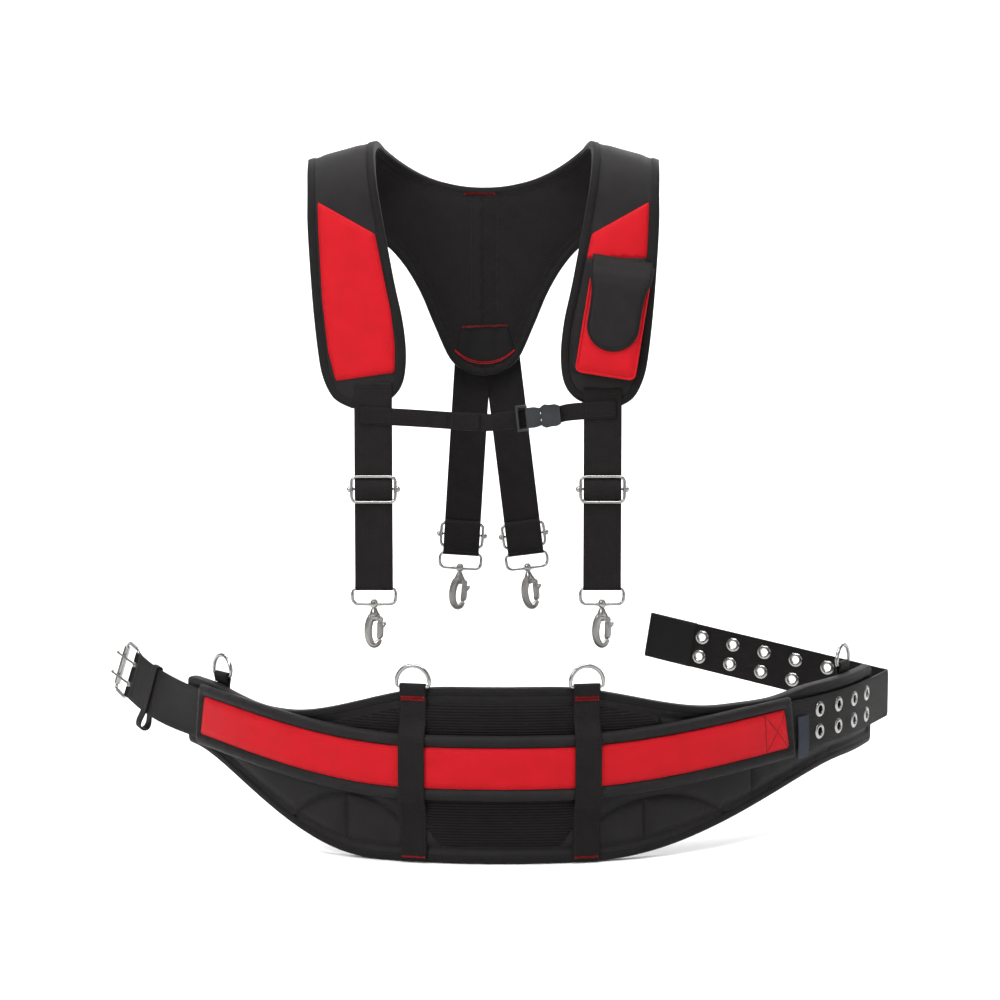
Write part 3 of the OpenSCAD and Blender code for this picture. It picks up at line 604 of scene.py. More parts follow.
def stitch_row(points, normals, pitch=3.6, length=2.6, width=0.6):
    """Raised stitches along a line that lies on a surface."""
    path = np.asarray(points, float)
    at = lengths(path)
    where = np.arange(pitch / 2, at[-1], pitch)
    if not len(where):
        return np.zeros((0, 3)), []
    pick = lambda table, t: np.column_stack([np.interp(t, at, table[:, k]) for k in range(3)])
    centre, up = pick(path, where), unit(pick(np.asarray(normals, float), where))
    along = unit(pick(path, np.minimum(where + 0.8, at[-1])) - pick(path, np.maximum(where - 0.8, 0)))
    side = unit(np.cross(up, along))
    rings = [(-0.5, 0.5, -0.25), (-0.28, 1, 0.22), (0.28, 1, 0.22), (0.5, 0.5, -0.25)]
    turns = np.arange(6) * math.tau / 6
    out = []
    for t, fat, lift in rings:
        ring = centre + along * length * t + up * width * lift
        for a in turns:
            out.append(ring + (side * math.cos(a) + up * math.sin(a) * 0.8) * width / 2 * fat)
    points = np.stack(out, 1)
    faces = [tuple(i + 24 * k for i in f) for k in range(len(centre)) for f in tube_faces(4, 6)]
    return points.reshape(-1, 3), faces


def surface(*obs):
    """Nearest point and outward normal on the given pieces, in millimetres."""
    points, faces, start = [], [], 0
    for ob in obs:
        points += [v.co / MM for v in ob.data.vertices]
        faces += [tuple(i + start for i in f.vertices) for f in ob.data.polygons]
        start = len(points)
    tree = BVHTree.FromPolygons(points, faces)

    def find(targets, ways=None):
        hits = [tree.find_nearest(Vector(t)) for t in targets]
        if ways is not None:
            for k, (target, way) in enumerate(zip(targets, ways)):
                straight = tree.ray_cast(Vector(target), -Vector(way), 40)
                hits[k] = straight if straight[0] is not None else hits[k]
        return np.array([h[0][:] for h in hits]), np.array([h[1][:] for h in hits])
    return find


def eased(table, reach=8):
    """Each row averaged with its neighbours."""
    padded = np.pad(table, ((reach, reach), (0, 0)), mode="edge")
    return np.mean([padded[k:k + len(table)] for k in range(2 * reach + 1)], axis=0)


def sew(name, runs, target, material, body, slot=None, **sizes):
    """Stitch rows along 3-D lines, set down on the target pieces. The lines lie outside them."""
    find = surface(*target)
    parts = []
    for run in runs:
        fine = resample(run, 2.0)
        at, _ = find(fine)
        at, normal = find(fine, unit(eased(fine - at)))
        parts.append(stitch_row(at, unit(eased(normal, 2)), **sizes))
    points, faces, cloth = joined([p for p in parts if len(p[0])])
    return piece(name, points, faces, material, body, cloth=points[:, :2])


def bar_tack(a, b, up, width=3.2):
    """A dense zigzag bar of thread from a to b, on a surface that faces up."""
    a, b = np.asarray(a, float), np.asarray(b, float)
    length = np.linalg.norm(b - a)
    n = int(length / 0.55)
    t = np.linspace(0, 1, n * 2 + 1)
    side = unit(np.cross(unit(np.asarray(up, float)), unit(b - a)))
    swing = np.where(np.arange(len(t)) % 2, 0.5, -0.5) * width
    path = a + (b - a) * t[:, None] + side * swing[:, None]
    return wire(path, 0.34, up, sides=5)


def tack_piece(name, tacks, body):
    points, faces, cloth = joined(tacks)
    piece(name, points, faces, RED_THREAD, body, points[:, :2])


def simulate(ob, pinned, pressure=4.0, cap=2.5, frames=20):
    """Blows the piece up a little as cloth, its sewn points held, and keeps the wrinkles that form."""
    group = ob.vertex_groups.new(name="sewn")
    group.add([int(i) for i in np.flatnonzero(pinned)], 1.0, "REPLACE")
    cloth = ob.modifiers.new("cloth", "CLOTH")
    cloth.settings.quality = 4
    cloth.settings.mass = 0.15
    cloth.settings.tension_stiffness = 12
    cloth.settings.compression_stiffness = 12
    cloth.settings.bending_stiffness = 0.3
    cloth.settings.use_pressure = True
    cloth.settings.uniform_pressure_force = pressure
    cloth.settings.vertex_group_mass = "sewn"
    cloth.settings.effector_weights.gravity = 0
    cloth.collision_settings.use_collision = False
    cloth.collision_settings.use_self_collision = False
    cloth.point_cache.frame_start, cloth.point_cache.frame_end = 1, frames
    scene = bpy.context.scene
    rest = np.array([v.co[:] for v in ob.data.vertices])
    for k in range(1, frames + 1):
        scene.frame_set(k)
    blown = ob.evaluated_get(bpy.context.evaluated_depsgraph_get()).data
    move = np.array([v.co[:] for v in blown.vertices]) - rest
    size = np.maximum(np.linalg.norm(move, axis=1), 1e-9)
    move *= (np.minimum(size, cap * MM) / size)[:, None]
    ob.modifiers.remove(cloth)
    ob.vertex_groups.clear()
    scene.frame_set(1)
    ob.data.vertices.foreach_set("co", (rest + move).ravel())
    ob.data.update()


def subdivide(ob):
    """One smooth subdivision, applied."""
    ob.modifiers.new("smooth", "SUBSURF").levels = 1
    new = bpy.data.meshes.new_from_object(ob.evaluated_get(bpy.context.evaluated_depsgraph_get()))
    ob.modifiers.clear()
    new.name = ob.name
    ob.data = new
    return ob


def edge_tape(edge, normal, place, section, along=None):
    """Tape bound round a closed edge. The section runs (inward distance, offset) over it."""
    section = np.asarray(section, float)
    points = [place(edge + normal * d, np.full(len(edge), off)) for d, off in section]
    along = lengths(points[0] if along is None else along)
    n, m = len(edge), len(section)
    cloth = np.stack([np.broadcast_to(lengths(section), (n, m)), np.broadcast_to(along[:, None], (n, m))], 2)
    return np.stack(points, 1).reshape(-1, 3), tube_faces(n, m, loop=True), cloth.reshape(-1, 2)


def tape_section(width, front, back, thick=0.9, roll=0.9):
    """Closed section of a tape that wraps an edge between two offsets."""
    mid, half = (front + back) / 2, (front - back) / 2
    turn = np.radians(np.linspace(78, -78, 9))
    outer = [(width, front + 0.15), (width - 0.5, front + thick)] + [(width * 0.45, front + thick + 0.25)]
    outer += [(1.2 - (roll + 1.2) * math.cos(a), mid + (half + thick) * math.sin(a)) for a in turn]
    outer += [(width * 0.45, back - thick - 0.25), (width - 0.5, back - thick), (width, back - 0.15)]
    return outer + [(width * 0.5, back + 0.6), (width * 0.5, front - 0.6)]


# ---------------------------------------------------------------- lumbar pad

def pad_outline(inset):
    """Outline of the padded back, as (station, height), moved in by the inset."""
    s = np.linspace(-LEFT_WING + inset, RIGHT_WING - inset, 64)
    low = np.column_stack([s, pad_bottom(s) + inset])
    high = np.column_stack([s, pad_top(s) - inset])[::-1]
    return rounded(np.vstack([low, high]), 12, 4)


PAD_SEAM_IN, LINER_SEAM_IN = 17, 16
LEFT_ARCH = spline([(-119, -53), (-140, -37), (-170, -28), (-205, -30), (-238, -46), (-262, -70)])
RIGHT_ARCH = spline([(119, -53), (140, -40), (170, -32), (205, -30), (240, -38), (266, -52), (287, -66)])


def seam(s, z0, z1):
    """An upright sewn line at a station."""
    return np.array([(s, z0), (s, z1)])


PAD_SEAMS = [LEFT_ARCH, RIGHT_ARCH]
PAD_SEAMS += [seam(s, z, pad_bottom(s) + PAD_SEAM_IN) for s, z in ((-184, -27), (172, -33), (322, 0))]
PAD_SEAMS += [seam(s, 48, pad_top(s) - PAD_SEAM_IN) for s in (-205, 192)]


def under_sleeve(p):
    """Whether each point of the padded back lies behind the sleeve."""
    z = np.abs(p[:, 1] - sleeve_z(p[:, 0]))
    return (z < SLEEVE_H / 2 + 4) & (p[:, 0] > SLEEVE_LEFT) & (p[:, 0] < 560)


def banks(line, d=2.2):
    """The two lines beside a sewn line, where its groove starts."""
    line = resample(line, 4)
    across = unit(np.gradient(line, axis=0))[:, ::-1] * [-1, 1]
    line, across = line[1:-1], across[1:-1]
    return [line + across * d, line - across * d]


def make_pad():
    outline = pad_outline(1.0)
    channel = ring_line(resample(pad_outline(PAD_SEAM_IN), 6, closed=True))
    lines = PAD_SEAMS + [channel]
    p, tris = fill(outline, 5.0, lines + [bank for line in PAD_SEAMS for bank in banks(line)])
    edge = edge_distance(p, outline, 6)
    sewn = distance(p, segments([resample(line, 4) for line in lines]))
    front = 10.8 + 3.6 * crown(edge, 15) * (0.1 + 0.9 * crown(sewn, 11))
    front += 0.4 * ripples(p, 26, 3) * crown(np.minimum(edge, sewn), 14)
    front -= 1.5 * np.exp(-(sewn / 1.3) ** 2)
    back = 1.4 - 1.2 * crown(edge, 14)
    points, faces, cloth = slab(p, tris, on_belt, front, back)
    pad = piece("lumbar_pad", points, faces, NYLON, "belt", cloth)
    fixed = (edge < 9) | (sewn < 1.5) | under_sleeve(p)
    simulate(pad, np.concatenate([fixed, np.ones(len(p), bool)]), pressure=4.5, cap=2.0)
    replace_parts(pad, "lumbar_foam", "lumbar_outer_cover")
    subdivide(pad)
    return pad


def make_liner():
    """Mesh liner against the back, quilted in upright channels."""
    lines = [ring_line(resample(pad_outline(LINER_SEAM_IN), 6, closed=True))]
    lines += [seam(s, pad_bottom(s) + LINER_SEAM_IN, pad_top(s) - LINER_SEAM_IN)
              for s in (-330, -215, -110, 0, 110, 225, 340, 460)]
    outline = pad_outline(2.0)
    p, tris = fill(outline, 7.0, lines)
    edge = edge_distance(p, outline, 6)
    sewn = distance(p, segments([resample(line, 4) for line in lines]))
    back = 0.6 - 1.6 * crown(edge, 14) * (0.2 + 0.8 * crown(sewn, 14))
    points, faces, cloth = slab(p, tris, on_belt, back + 1.2, back)
    liner = piece("lumbar_liner", points, faces, MESH, "belt", cloth)
    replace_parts(liner, "lumbar_mesh_liner")
    return liner, lines


pad = make_pad()
liner, liner_seams = make_liner()

pad_edge = resample(pad_outline(0.4), 4.0, closed=True)
points, faces, cloth = edge_tape(pad_edge, inward(pad_edge), on_belt, tape_section(9.5, 12.6, 0.6), along=pad_edge)
pad_tape = piece("lumbar_edge_tape", points, faces, TAPE, "belt", cloth)
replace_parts(pad_tape, "lumbar_binding")


def belt_runs(lines, off):
    return [on_belt(resample(line, 3), off) for line in lines]


def pad_ring(inset):
    return ring_line(resample(pad_outline(inset), 4, True))


sew("lumbar_seam_stitching", belt_runs(PAD_SEAMS + [pad_ring(PAD_SEAM_IN)], 20), [pad], BLACK_THREAD, "belt",
    "binding", pitch=4, length=3, width=0.55)
sew("lumbar_tape_stitching", belt_runs([pad_ring(7.4)], 20), [pad_tape], BLACK_THREAD, "belt", "binding", pitch=4,
    length=3, width=0.6)
sew("liner_stitching", belt_runs(liner_seams, -8), [liner], BLACK_THREAD, "belt", "binding",
    pitch=4.5, length=3.2, width=0.6)


def laid(target, place, points, over):
    """Flat points dropped onto the target pieces from an offset, and the way back up."""
    above = place(points, np.full(len(points), float(over)))
    way = unit(above - place(points, np.full(len(points), over - math.copysign(1.0, over))))
    return surface(*target)(above, way)[0], way


def laid_panel(name, p, tris, at, way, low, high, material, body, slot):
    """A thin fabric panel between two heights over the points where it was laid."""
    points = np.vstack([at + way * np.reshape(high, (-1, 1)), at + way * low])
    return piece(name, points, shell_faces(tris, len(p)), material, body, np.vstack([p, p]))


def drape(name, outline):
    """A ribbed mesh panel on the outside of the padded back."""
    p, tris = fill(outline, 5.0)
    laid_panel(name, p, tris, *laid([pad], on_belt, p, 20), -0.3, 0.5, RIB_MESH, "belt", "mesh")


def strip(s0, s1, low, high, n=24):
    """Outline between two curves over a range of stations."""
    s = np.linspace(s0, s1, n)
    return np.vstack([np.column_stack([s, low(s)]), np.column_stack([s, high(s)])[::-1]])


drape("back_panel_upper", strip(-203, 190, lambda s: sleeve_z(s) + 20, lambda s: pad_top(s) - 18.5))
lower = np.array([(-104, -20), (-104, -57), (-84, -62), (-68, -86), (68, -86), (84, -62), (104, -57), (104, -20)])
drape("back_panel_lower", rounded(lower, 4))


# ---------------------------------------------------------------- belt sleeve

def sleeve_outline(inset_s, height):
    s = np.linspace(SLEEVE_LEFT + inset_s, SLEEVE_RIGHT - inset_s, 60)
    t = np.linspace(SLEEVE_LEFT + inset_s + SLEEVE_SLANT, SLEEVE_RIGHT - inset_s - SLEEVE_SLANT, 60)
    low = np.column_stack([s, sleeve_z(s) - height / 2])
    return np.vstack([low, np.column_stack([t, sleeve_z(t) + height / 2])[::-1]])


def make_sleeve():
    outline = rounded(sleeve_outline(0, SLEEVE_H), 5, 3)
    red = rounded(sleeve_outline(PANEL_GAP, RED_H), 1.5, 2)
    line = ring_line(resample(red, 3.5, closed=True))
    p, tris = fill(outline, 3.5, [line])
    edge = edge_distance(p, outline, 3.5)
    sewn = distance(p, segments([line]))
    tube = np.sqrt(np.clip(1 - (1 - np.minimum(edge, sewn) / 7) ** 2, 0, 1))
    rise = np.where(inside(p, red), 0, 1) * tube
    front = 20.6 + 4.3 * rise + 0.15 * ripples(p, 18, 7)
    ends = np.maximum(ease(-p[:, 0], 330, 372), ease(p[:, 0], 292, 330))
    back = np.minimum(15.0 + 4.2 * ends + 2.2 * (1 - crown(edge, 6)), front - 0.8)
    points, faces, cloth = slab(p, tris, on_belt, front, back)
    sleeve = piece("belt_sleeve", points, faces, NYLON, "belt", cloth)
    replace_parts(sleeve, "belt_sleeve_foam", "sleeve_bindings")

    p, tris = fill(red, 4.5)
    edge = edge_distance(p, red, 4.5)
    box = np.array([(-52.0, -25), (-14, -25), (-18, 25), (-56, 25)]) + [SLEEVE_RIGHT, 0]
    box[:, 1] += sleeve_z(box[:, 0])
    cross = [np.array([box[0], box[2]]), np.array([box[1], box[3]]), np.array([box[0], box[3]])]
    sewn = distance(p, segments(cross))
    front = 21.9 + 2.2 * crown(edge, 10) * (0.45 + 0.55 * crown(sewn, 9))
    front += (0.55 * ripples(p, 40, 11) + 0.22 * ripples(p, 14, 12)) * crown(edge, 12)
    points, faces, cloth = slab(p, tris, on_belt, front, front - 1.0)
    panel = piece("belt_red_panel_fabric", points, faces, RED, "belt", cloth)
    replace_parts(subdivide(panel), "belt_red_panel")
    hems = [ring_line(resample(rounded(sleeve_outline(PANEL_GAP + 2.2, RED_H - 4.4), 1.5, 2), 3, True))]
    sew("red_panel_hem", belt_runs(hems, 34), [panel], RED_THREAD, "belt", "red_fabric",
        pitch=3.6, length=2.6, width=0.5)
    sew("red_panel_box_stitch", belt_runs(cross, 34), [panel], BLACK_THREAD, "belt", "binding",
        pitch=2.6, length=2.1, width=0.9)


make_sleeve()


# ---------------------------------------------------------------- loops, tabs and D-rings

def belt_strip(s, width, route, thick):
    """Webbing across the belt at a station. route is (offset, height) points."""
    origin, axes = belt_frame(s, 0, 0)
    path = [origin + (-off) * axes[1] + z * axes[2] for off, z in route]
    return ribbon(path, axes[0], width, thick, 12)


def fold_round(off, z, r, start, end, n=9):
    """Route of webbing folded round a bar, from one angle to another."""
    return [(off + r * math.cos(math.radians(a)), z + r * math.sin(math.radians(a)))
            for a in np.linspace(start, end, n)]


def make_back_loop(name, node, s):
    top, low = float(sleeve_z(s)) + SLEEVE_H / 2, float(sleeve_z(s)) - SLEEVE_H / 2
    ring_off, ring_z = STRAP_OFF + 1.8, 107
    foot = float(pad_bottom(s))
    route = spline([(15.4, foot + 3), (15.5, low - 30), (16.4, low - 15), (22, low - 5), (26.2, low + 4),
                    (26.5, low + 20), (26.6, top - 20), (26.2, top - 4), (22.5, top + 4), (17.2, top + 15),
                    (16, top + 26), (16.2, 93), (18.6, 102.5)], 5)
    route = list(route) + fold_round(ring_off, ring_z, 3.1, 0, 180) + [(13.4, 103), (13.6, 97)]
    points, faces, cloth = belt_strip(s, LOOP_W, route, 2.0)
    loop = piece(name, points, faces, WEB, "belt", cloth)
    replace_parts(loop, node)
    origin, axes = belt_frame(s, 0, 0)
    out = -axes[1]

    def on_loop(x, off, z):
        return origin + axes[0] * x + out * off + axes[2] * z
    rows = [np.array([on_loop(x, 40, foot + 6), on_loop(x, 40, 92)]) for x in (-13.6, 13.6)]
    rows += [np.array([on_loop(-14, 40, z), on_loop(14, 40, z)]) for z in (low - 8, low - 14)]
    sew(name + "_stitching", rows, [loop], BLACK_THREAD, "belt", "webbing", pitch=3.4, length=2.5, width=0.5)
    tacks = []
    for z, off in ((foot + 6.5, 16.6), (94.5, 17.7), (91.5, 17.4)):
        tacks.append(bar_tack(on_loop(-14, off, z), on_loop(14, off, z), out, 2.2))
    tack_piece(name + "_bar_tacks", tacks, "belt")


def d_shape(n=28):
    """Middle line of a D-ring: a straight bar along X and a bow over it."""
    bow = arc((0, 5), RING_BOW, 0, 180, n)
    foot = [(-RING_BOW, 3), (-RING_BOW + 0.4, 1.2), (-RING_BOW + 1.7, 0.2), (-RING_BOW + 3.4, 0)]
    line = np.vstack([bow, foot, [(0, 0)], [(-x, y) for x, y in foot[::-1]]])
    return upright(line)


def make_ring(node, s, off, z):
    line = resample(d_shape(), 1.6, closed=True)
    points, faces = wire(line, RING_R + 0.6 * ease(line[:, 2], 3, 8), (0, 1, 0), closed=True)
    ring = piece(node + "_wire", placed(points, belt_frame(s, off, z)), faces, NICKEL, node)
    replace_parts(ring, node)


def make_side_tab(node, s):
    z = float(pad_top(s))
    route = list(spline([(-1.9, z - 28), (-2.1, z - 14), (-2.3, z - 2), (-3.6, z + 6)], 5))
    route += fold_round(-1, z + 11, 3.1, 180, 0) + [(1.4, z + 7), (0.6, z + 3.5), (0.4, z + 1.5)]
    points, faces, cloth = belt_strip(s, 30, route, 2.0)
    tab = piece(node + "_webbing", points, faces, WEB, "belt", cloth)
    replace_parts(tab, node)
    origin, axes = belt_frame(s, 0, 0)
    ends = [[origin + axes[0] * x - axes[1] * -4.6 + axes[2] * h for x in (-12.5, 12.5)] for h in (z - 6, z - 24)]
    tacks = [bar_tack(a, b, axes[1], 2.4) for a, b in ends]
    tack_piece(node + "_bar_tacks", [(placed(p - origin, (origin - axes[1] * 1.2, np.eye(3))), f) for p, f in tacks],
               "belt")


for side, s in (("left", -LOOP_S), ("right", LOOP_S)):
    make_back_loop(f"back_loop_{side}_webbing", f"back_loop_{side}", s)
    make_ring(f"d_ring_back_{side}", s, STRAP_OFF + 1.8, 107)
for side, s in (("left", -401), ("right", 535)):
    make_side_tab(f"side_tab_{side}", s)
    make_ring(f"d_ring_side_{side}", s, -1, float(pad_top(s)) + 11)


# ---------------------------------------------------------------- buckle end

HEEL = np.array([-496, 365, 58.7])
HEEL_AXES = turned("X", 14) @ turned("Y", -10) @ turned("Z", 119)
HEEL_PLACE = (HEEL, HEEL_AXES)
BUCKLE_REACH, BAR_HALF, PRONG_Z = 42, 34, 14
NOTCH, NOTCH_DEEP = 7.4, 9


def strap_route():
    """The buckle end of the strap: a curve from the sleeve to the buckle, with its along and up directions."""
    mid = LEFT_R + STRAP_OFF + STRAP_T / 2
    s0 = SLEEVE_LEFT + 62
    a, lead = s0 / LEFT_R, 94
    z0 = float(sleeve_z(s0))
    start = np.array([mid * math.sin(a), LEFT_R - mid * math.cos(a), z0])
    p = [start, start + [-lead * math.cos(a), -lead * math.sin(a), 4],
         HEEL - (NOTCH_DEEP + lead) * HEEL_AXES[0], HEEL - NOTCH_DEEP * HEEL_AXES[0]]
    t = np.linspace(0, 1, 60)[:, None]
    path = (1 - t) ** 3 * p[0] + 3 * (1 - t) ** 2 * t * p[1] + 3 * (1 - t) * t * t * p[2] + t ** 3 * p[3]
    along = unit(np.gradient(path, axis=0))
    up = unit(np.array([0, 0, 1]) - along[:, 2:] * along)
    roll = np.radians(14 * ease(t[:, 0], 0.1, 0.68))[:, None]
    up = np.cos(roll) * up - np.sin(roll) * np.cross(up, along)
    return path, along, up


strap_path, strap_along, strap_up = strap_route()
strap_out = np.cross(strap_up, strap_along)


def make_buckle_strap():
    wave = 0.25 * np.sin(np.linspace(0, 9, len(strap_path)))[:, None]
    parts = [ribbon(strap_path + strap_out * (side * 1.02 + wave), strap_up, STRAP_W, 1.95, 14) for side in (-1, 1)]
    for z0, z1 in ((PRONG_Z + NOTCH / 2, STRAP_W / 2), (-PRONG_Z + NOTCH / 2, PRONG_Z - NOTCH / 2),
                   (-STRAP_W / 2, -PRONG_Z - NOTCH / 2)):
        turn = np.radians(np.linspace(140, -140, 15))
        fold = [(-12, 1.0), (-7.5, 1.2)] + [(3.2 * math.cos(a), 3.2 * math.sin(a)) for a in turn]
        fold = np.array(fold + [(-7.5, -1.2), (-12, -1.0)])
        path = np.column_stack([fold, np.full(len(fold), (z0 + z1) / 2)])
        p, f, c = ribbon(path, (0, 0, 1), z1 - z0, 1.95, 6)
        parts.append((placed(p, HEEL_PLACE), f, c))
    points, faces, cloth = joined(parts)
    strap = piece("buckle_strap_webbing", points, faces, WEB, "belt", cloth)
    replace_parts(strap, "buckle_strap")
    rows = []
    for v in (-27.5, 27.5, -24.8, 24.8):
        rows.append((strap_path + strap_up * v + strap_out * 12)[20:])
    for k in (38, 40, 52, 57):
        rows.append(np.array([strap_path[k] + strap_up[k] * v + strap_out[k] * 12 for v in (-26, 26)]))
    sew("buckle_strap_stitching", rows, [strap], BLACK_THREAD, "belt", "webbing", pitch=3.6, length=2.7, width=0.65)


def make_keeper():
    k = int(np.argmin(np.abs(np.linspace(0, 1, 60) - (1 - 68 / 285))))
    place = (strap_path[k], np.array([strap_along[k], strap_out[k], strap_up[k]]))
    half = [(0, 33.2), (2.4, 32.9), (3.7, 31.4), (3.9, 26), (3.9, 0), (4.0, -24), (5.4, -34), (7.0, -42),
            (6.2, -48.5), (3.4, -51.6), (0, -52.4)]
    line = np.array(half + [(-x, z) for x, z in half[-2:0:-1]])
    line = resample(spline(np.vstack([line, line[:1]]), 5), 2.2)[:-1]
    path = np.column_stack([0 * line[:, 0], line[:, 0], line[:, 1]])
    p, f, c = ribbon(path, (1, 0, 0), 17, 1.9, 6, closed=True)
    keeper = piece("keeper_loop", placed(p, place), f, WEB, "strap_keeper", c)
    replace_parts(keeper, "strap_keeper")
    rows = [placed(np.array([(x, 12, -26), (x, 12, 26)]), place) for x in (-6.6, 6.6)]
    sew("keeper_stitching", rows, [keeper], BLACK_THREAD, "strap_keeper", "webbing", pitch=3.2, length=2.3, width=0.5)


def make_buckle():
    corners = rounded([(0, -BAR_HALF), (BUCKLE_REACH, -BAR_HALF), (BUCKLE_REACH, BAR_HALF), (0, BAR_HALF)], 8, 8)
    line = resample(corners, 1.5, closed=True)
    thick = 2.05 + 0.75 * ease(line[:, 0], 3, 8) * ease(-line[:, 0], 4 - BUCKLE_REACH, 9 - BUCKLE_REACH)
    p, f = wire(upright(line), thick, (0, 1, 0), closed=True)
    ring = piece("buckle_frame_wire", placed(p, HEEL_PLACE), f, NICKEL, "buckle_frame")
    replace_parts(ring, "buckle_frame")
    h = BAR_HALF - 7
    profile = [(2.15, -h), (3.9, -h), (4.25, -h + 0.4), (4.3, -h + 1.2), (4.3, h - 1.2), (4.25, h - 0.4), (3.9, h),
               (2.15, h)]
    p, f = lathe(profile, 36, loop=True)
    roller = piece("buckle_roller_tube", placed(p + [BUCKLE_REACH, 0, 0], HEEL_PLACE), f, NICKEL, "buckle_roller",
                   sharp=40)
    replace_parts(roller, "buckle_roller")
    rise = math.asin((4.3 + 1.9) / BUCKLE_REACH)
    for side, z in (("upper", PRONG_Z), ("lower", -PRONG_Z)):
        t = np.linspace(0, 1, 34)
        reach = BUCKLE_REACH + 12
        radius = np.interp(t, [0, 0.05, 0.12, 0.82, 0.9, 0.95, 0.985, 1], [1.2, 1.7, 1.6, 1.45, 1.7, 2.5, 2.3, 0.6])
        x = 2.6 + t * (reach - 2.6)
        y = x * math.tan(rise) + 0.9 * np.sin(t * math.pi) - 1.4 * ease(t, 0.86, 1)
        arm, arm_faces = wire(np.column_stack([x, y, 0 * x]), radius, (0, 0, 1), sides=14)
        eye = lathe([(2.1, -2.6), (3.9, -2.6), (4.3, -2.0), (4.3, 2.0), (3.9, 2.6), (2.1, 2.6)], 28, loop=True)
        p, f, c = joined([(arm, arm_faces), eye])
        prong = piece(f"prong_{side}_steel", placed(p + [0, 0, z], HEEL_PLACE), f, DARK_STEEL, f"buckle_prong_{side}",
                      sharp=50)
        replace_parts(prong, f"buckle_prong_{side}")


make_buckle_strap()
make_keeper()
make_buckle()


# ---------------------------------------------------------------- tongue end

TONGUE_R = RIGHT_R + STRAP_OFF + STRAP_T / 2
LEAVE, RUN, BEND_R, TAIL_TURN, TAIL_RISE, TAIL_LEN, STRAP_Z = 62, 100, 13, 154.4, 9.4, 342, 35
START_A = math.degrees((SLEEVE_RIGHT - 61) / RIGHT_R)
ARC_LEN = math.radians(LEAVE - START_A) * TONGUE_R
BEND_LEN = math.radians(TAIL_TURN - LEAVE) * BEND_R
TAIL_AT = ARC_LEN + RUN + BEND_LEN


def heading(degrees):
    """Directions along and out of the strap where it has turned this far."""
    a = np.radians(degrees)
    return np.stack([np.cos(a), np.sin(a), 0 * a], -1), np.stack([np.sin(a), -np.cos(a), 0 * a], -1)


LEAVE_ALONG, LEAVE_OUT = heading(LEAVE)
LEAVE_AT = np.array([0, RIGHT_R, STRAP_Z]) + TONGUE_R * LEAVE_OUT
BEND_MID = LEAVE_AT + RUN * LEAVE_ALONG - BEND_R * LEAVE_OUT
TAIL_ALONG, TAIL_OUT = heading(TAIL_TURN)
TAIL_START = BEND_MID + BEND_R * TAIL_OUT
RISE = math.radians(TAIL_RISE)
TAIL_X = TAIL_ALONG * math.cos(RISE) + np.array([0, 0, math.sin(RISE)])
TAIL_Z = np.cross(TAIL_X, -TAIL_OUT)


def tongue_lines(at):
    """Middle line, outward normal and upward direction of the tongue at distances along it."""
    at = np.asarray(at, float)
    turn = START_A + np.degrees(np.clip(at, 0, ARC_LEN) / TONGUE_R)
    turn = turn + np.degrees(np.clip(at - ARC_LEN - RUN, 0, BEND_LEN) / BEND_R)
    out = heading(turn)[1]
    arc_part = np.array([0, RIGHT_R, STRAP_Z]) + TONGUE_R * out
    run_part = LEAVE_AT + np.clip(at - ARC_LEN, 0, RUN)[:, None] * LEAVE_ALONG
    bend_part = BEND_MID + BEND_R * out
    tail_part = TAIL_START + (at - TAIL_AT)[:, None] * TAIL_X
    k = at[:, None]
    middle = np.where(k < ARC_LEN, arc_part, np.where(k < ARC_LEN + RUN, run_part,
                                                      np.where(k < TAIL_AT, bend_part, tail_part)))
    blend = ease(at - TAIL_AT, -14, 14)[:, None]
    up = unit(np.array([0, 0, 1.0]) * (1 - blend) + TAIL_Z * blend)
    return middle, out, up


def on_tongue(points, off):
    middle, out, up = tongue_lines(points[:, 0])
    sag = 0.8 * np.sin(points[:, 0] / 62) * ease(points[:, 0], ARC_LEN + 20, TAIL_AT + 60)
    return middle + out * (np.asarray(off) + sag)[:, None] + up * points[:, 1:2]


def along_tongue(x, v):
    """A line along the tongue, clear of its outer face."""
    return on_tongue(np.column_stack([x, np.full(len(x), v)]), np.full(len(x), 9.0))


HOLES = [(ARC_LEN - math.radians(13.6) * TONGUE_R + 46 * k, row) for k in range(4) for row in (-14, 14)]
HOLES += [(TAIL_AT + TAIL_LEN - 81 - 46 * k, row) for k in range(6) for row in (-14, 14)]


def circle(centre, r, n=18):
    return arc(centre, r, 0, 360, n + 1)[:-1]


HOLE_R, RIM_R = 5.7, 5.9


def off_holes(points):
    return np.all([np.linalg.norm(points - hole, axis=1) >= HOLE_R for hole in HOLES], axis=0)


def make_tongue():
    end = TAIL_AT + TAIL_LEN
    half = STRAP_W / 2
    outline = np.array([(0, -half), (end, -half), (end, half), (0, half)])
    rings = [ring_line(circle(hole, RIM_R)) for hole in HOLES]
    p, tris = fill(outline, 4.2, rings)
    used, tris = keep(p, tris, off_holes)
    p = p[used]
    edge = np.minimum(half - np.abs(p[:, 1]), np.minimum(p[:, 0], end - p[:, 0]))
    off = 1.35 + 0.6 * crown(edge, 3.5) + 0.12 * ripples(p, 30, 5)
    points, faces, cloth = slab(p, tris, on_tongue, off, -off)
    strap = piece("tongue_webbing", points, faces, WEB, "belt", cloth[:, ::-1], sharp=55)
    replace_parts(strap, "tongue_strap_front", "tongue_strap_bend", "tongue_strap_tail")
    x = np.arange(66, end - 6, 3)
    rows = [along_tongue(x, v) for v in (-28, 28)]
    sew("tongue_edge_stitching", rows, [strap], BLACK_THREAD, "belt", "webbing", pitch=3.8, length=2.8, width=0.55)


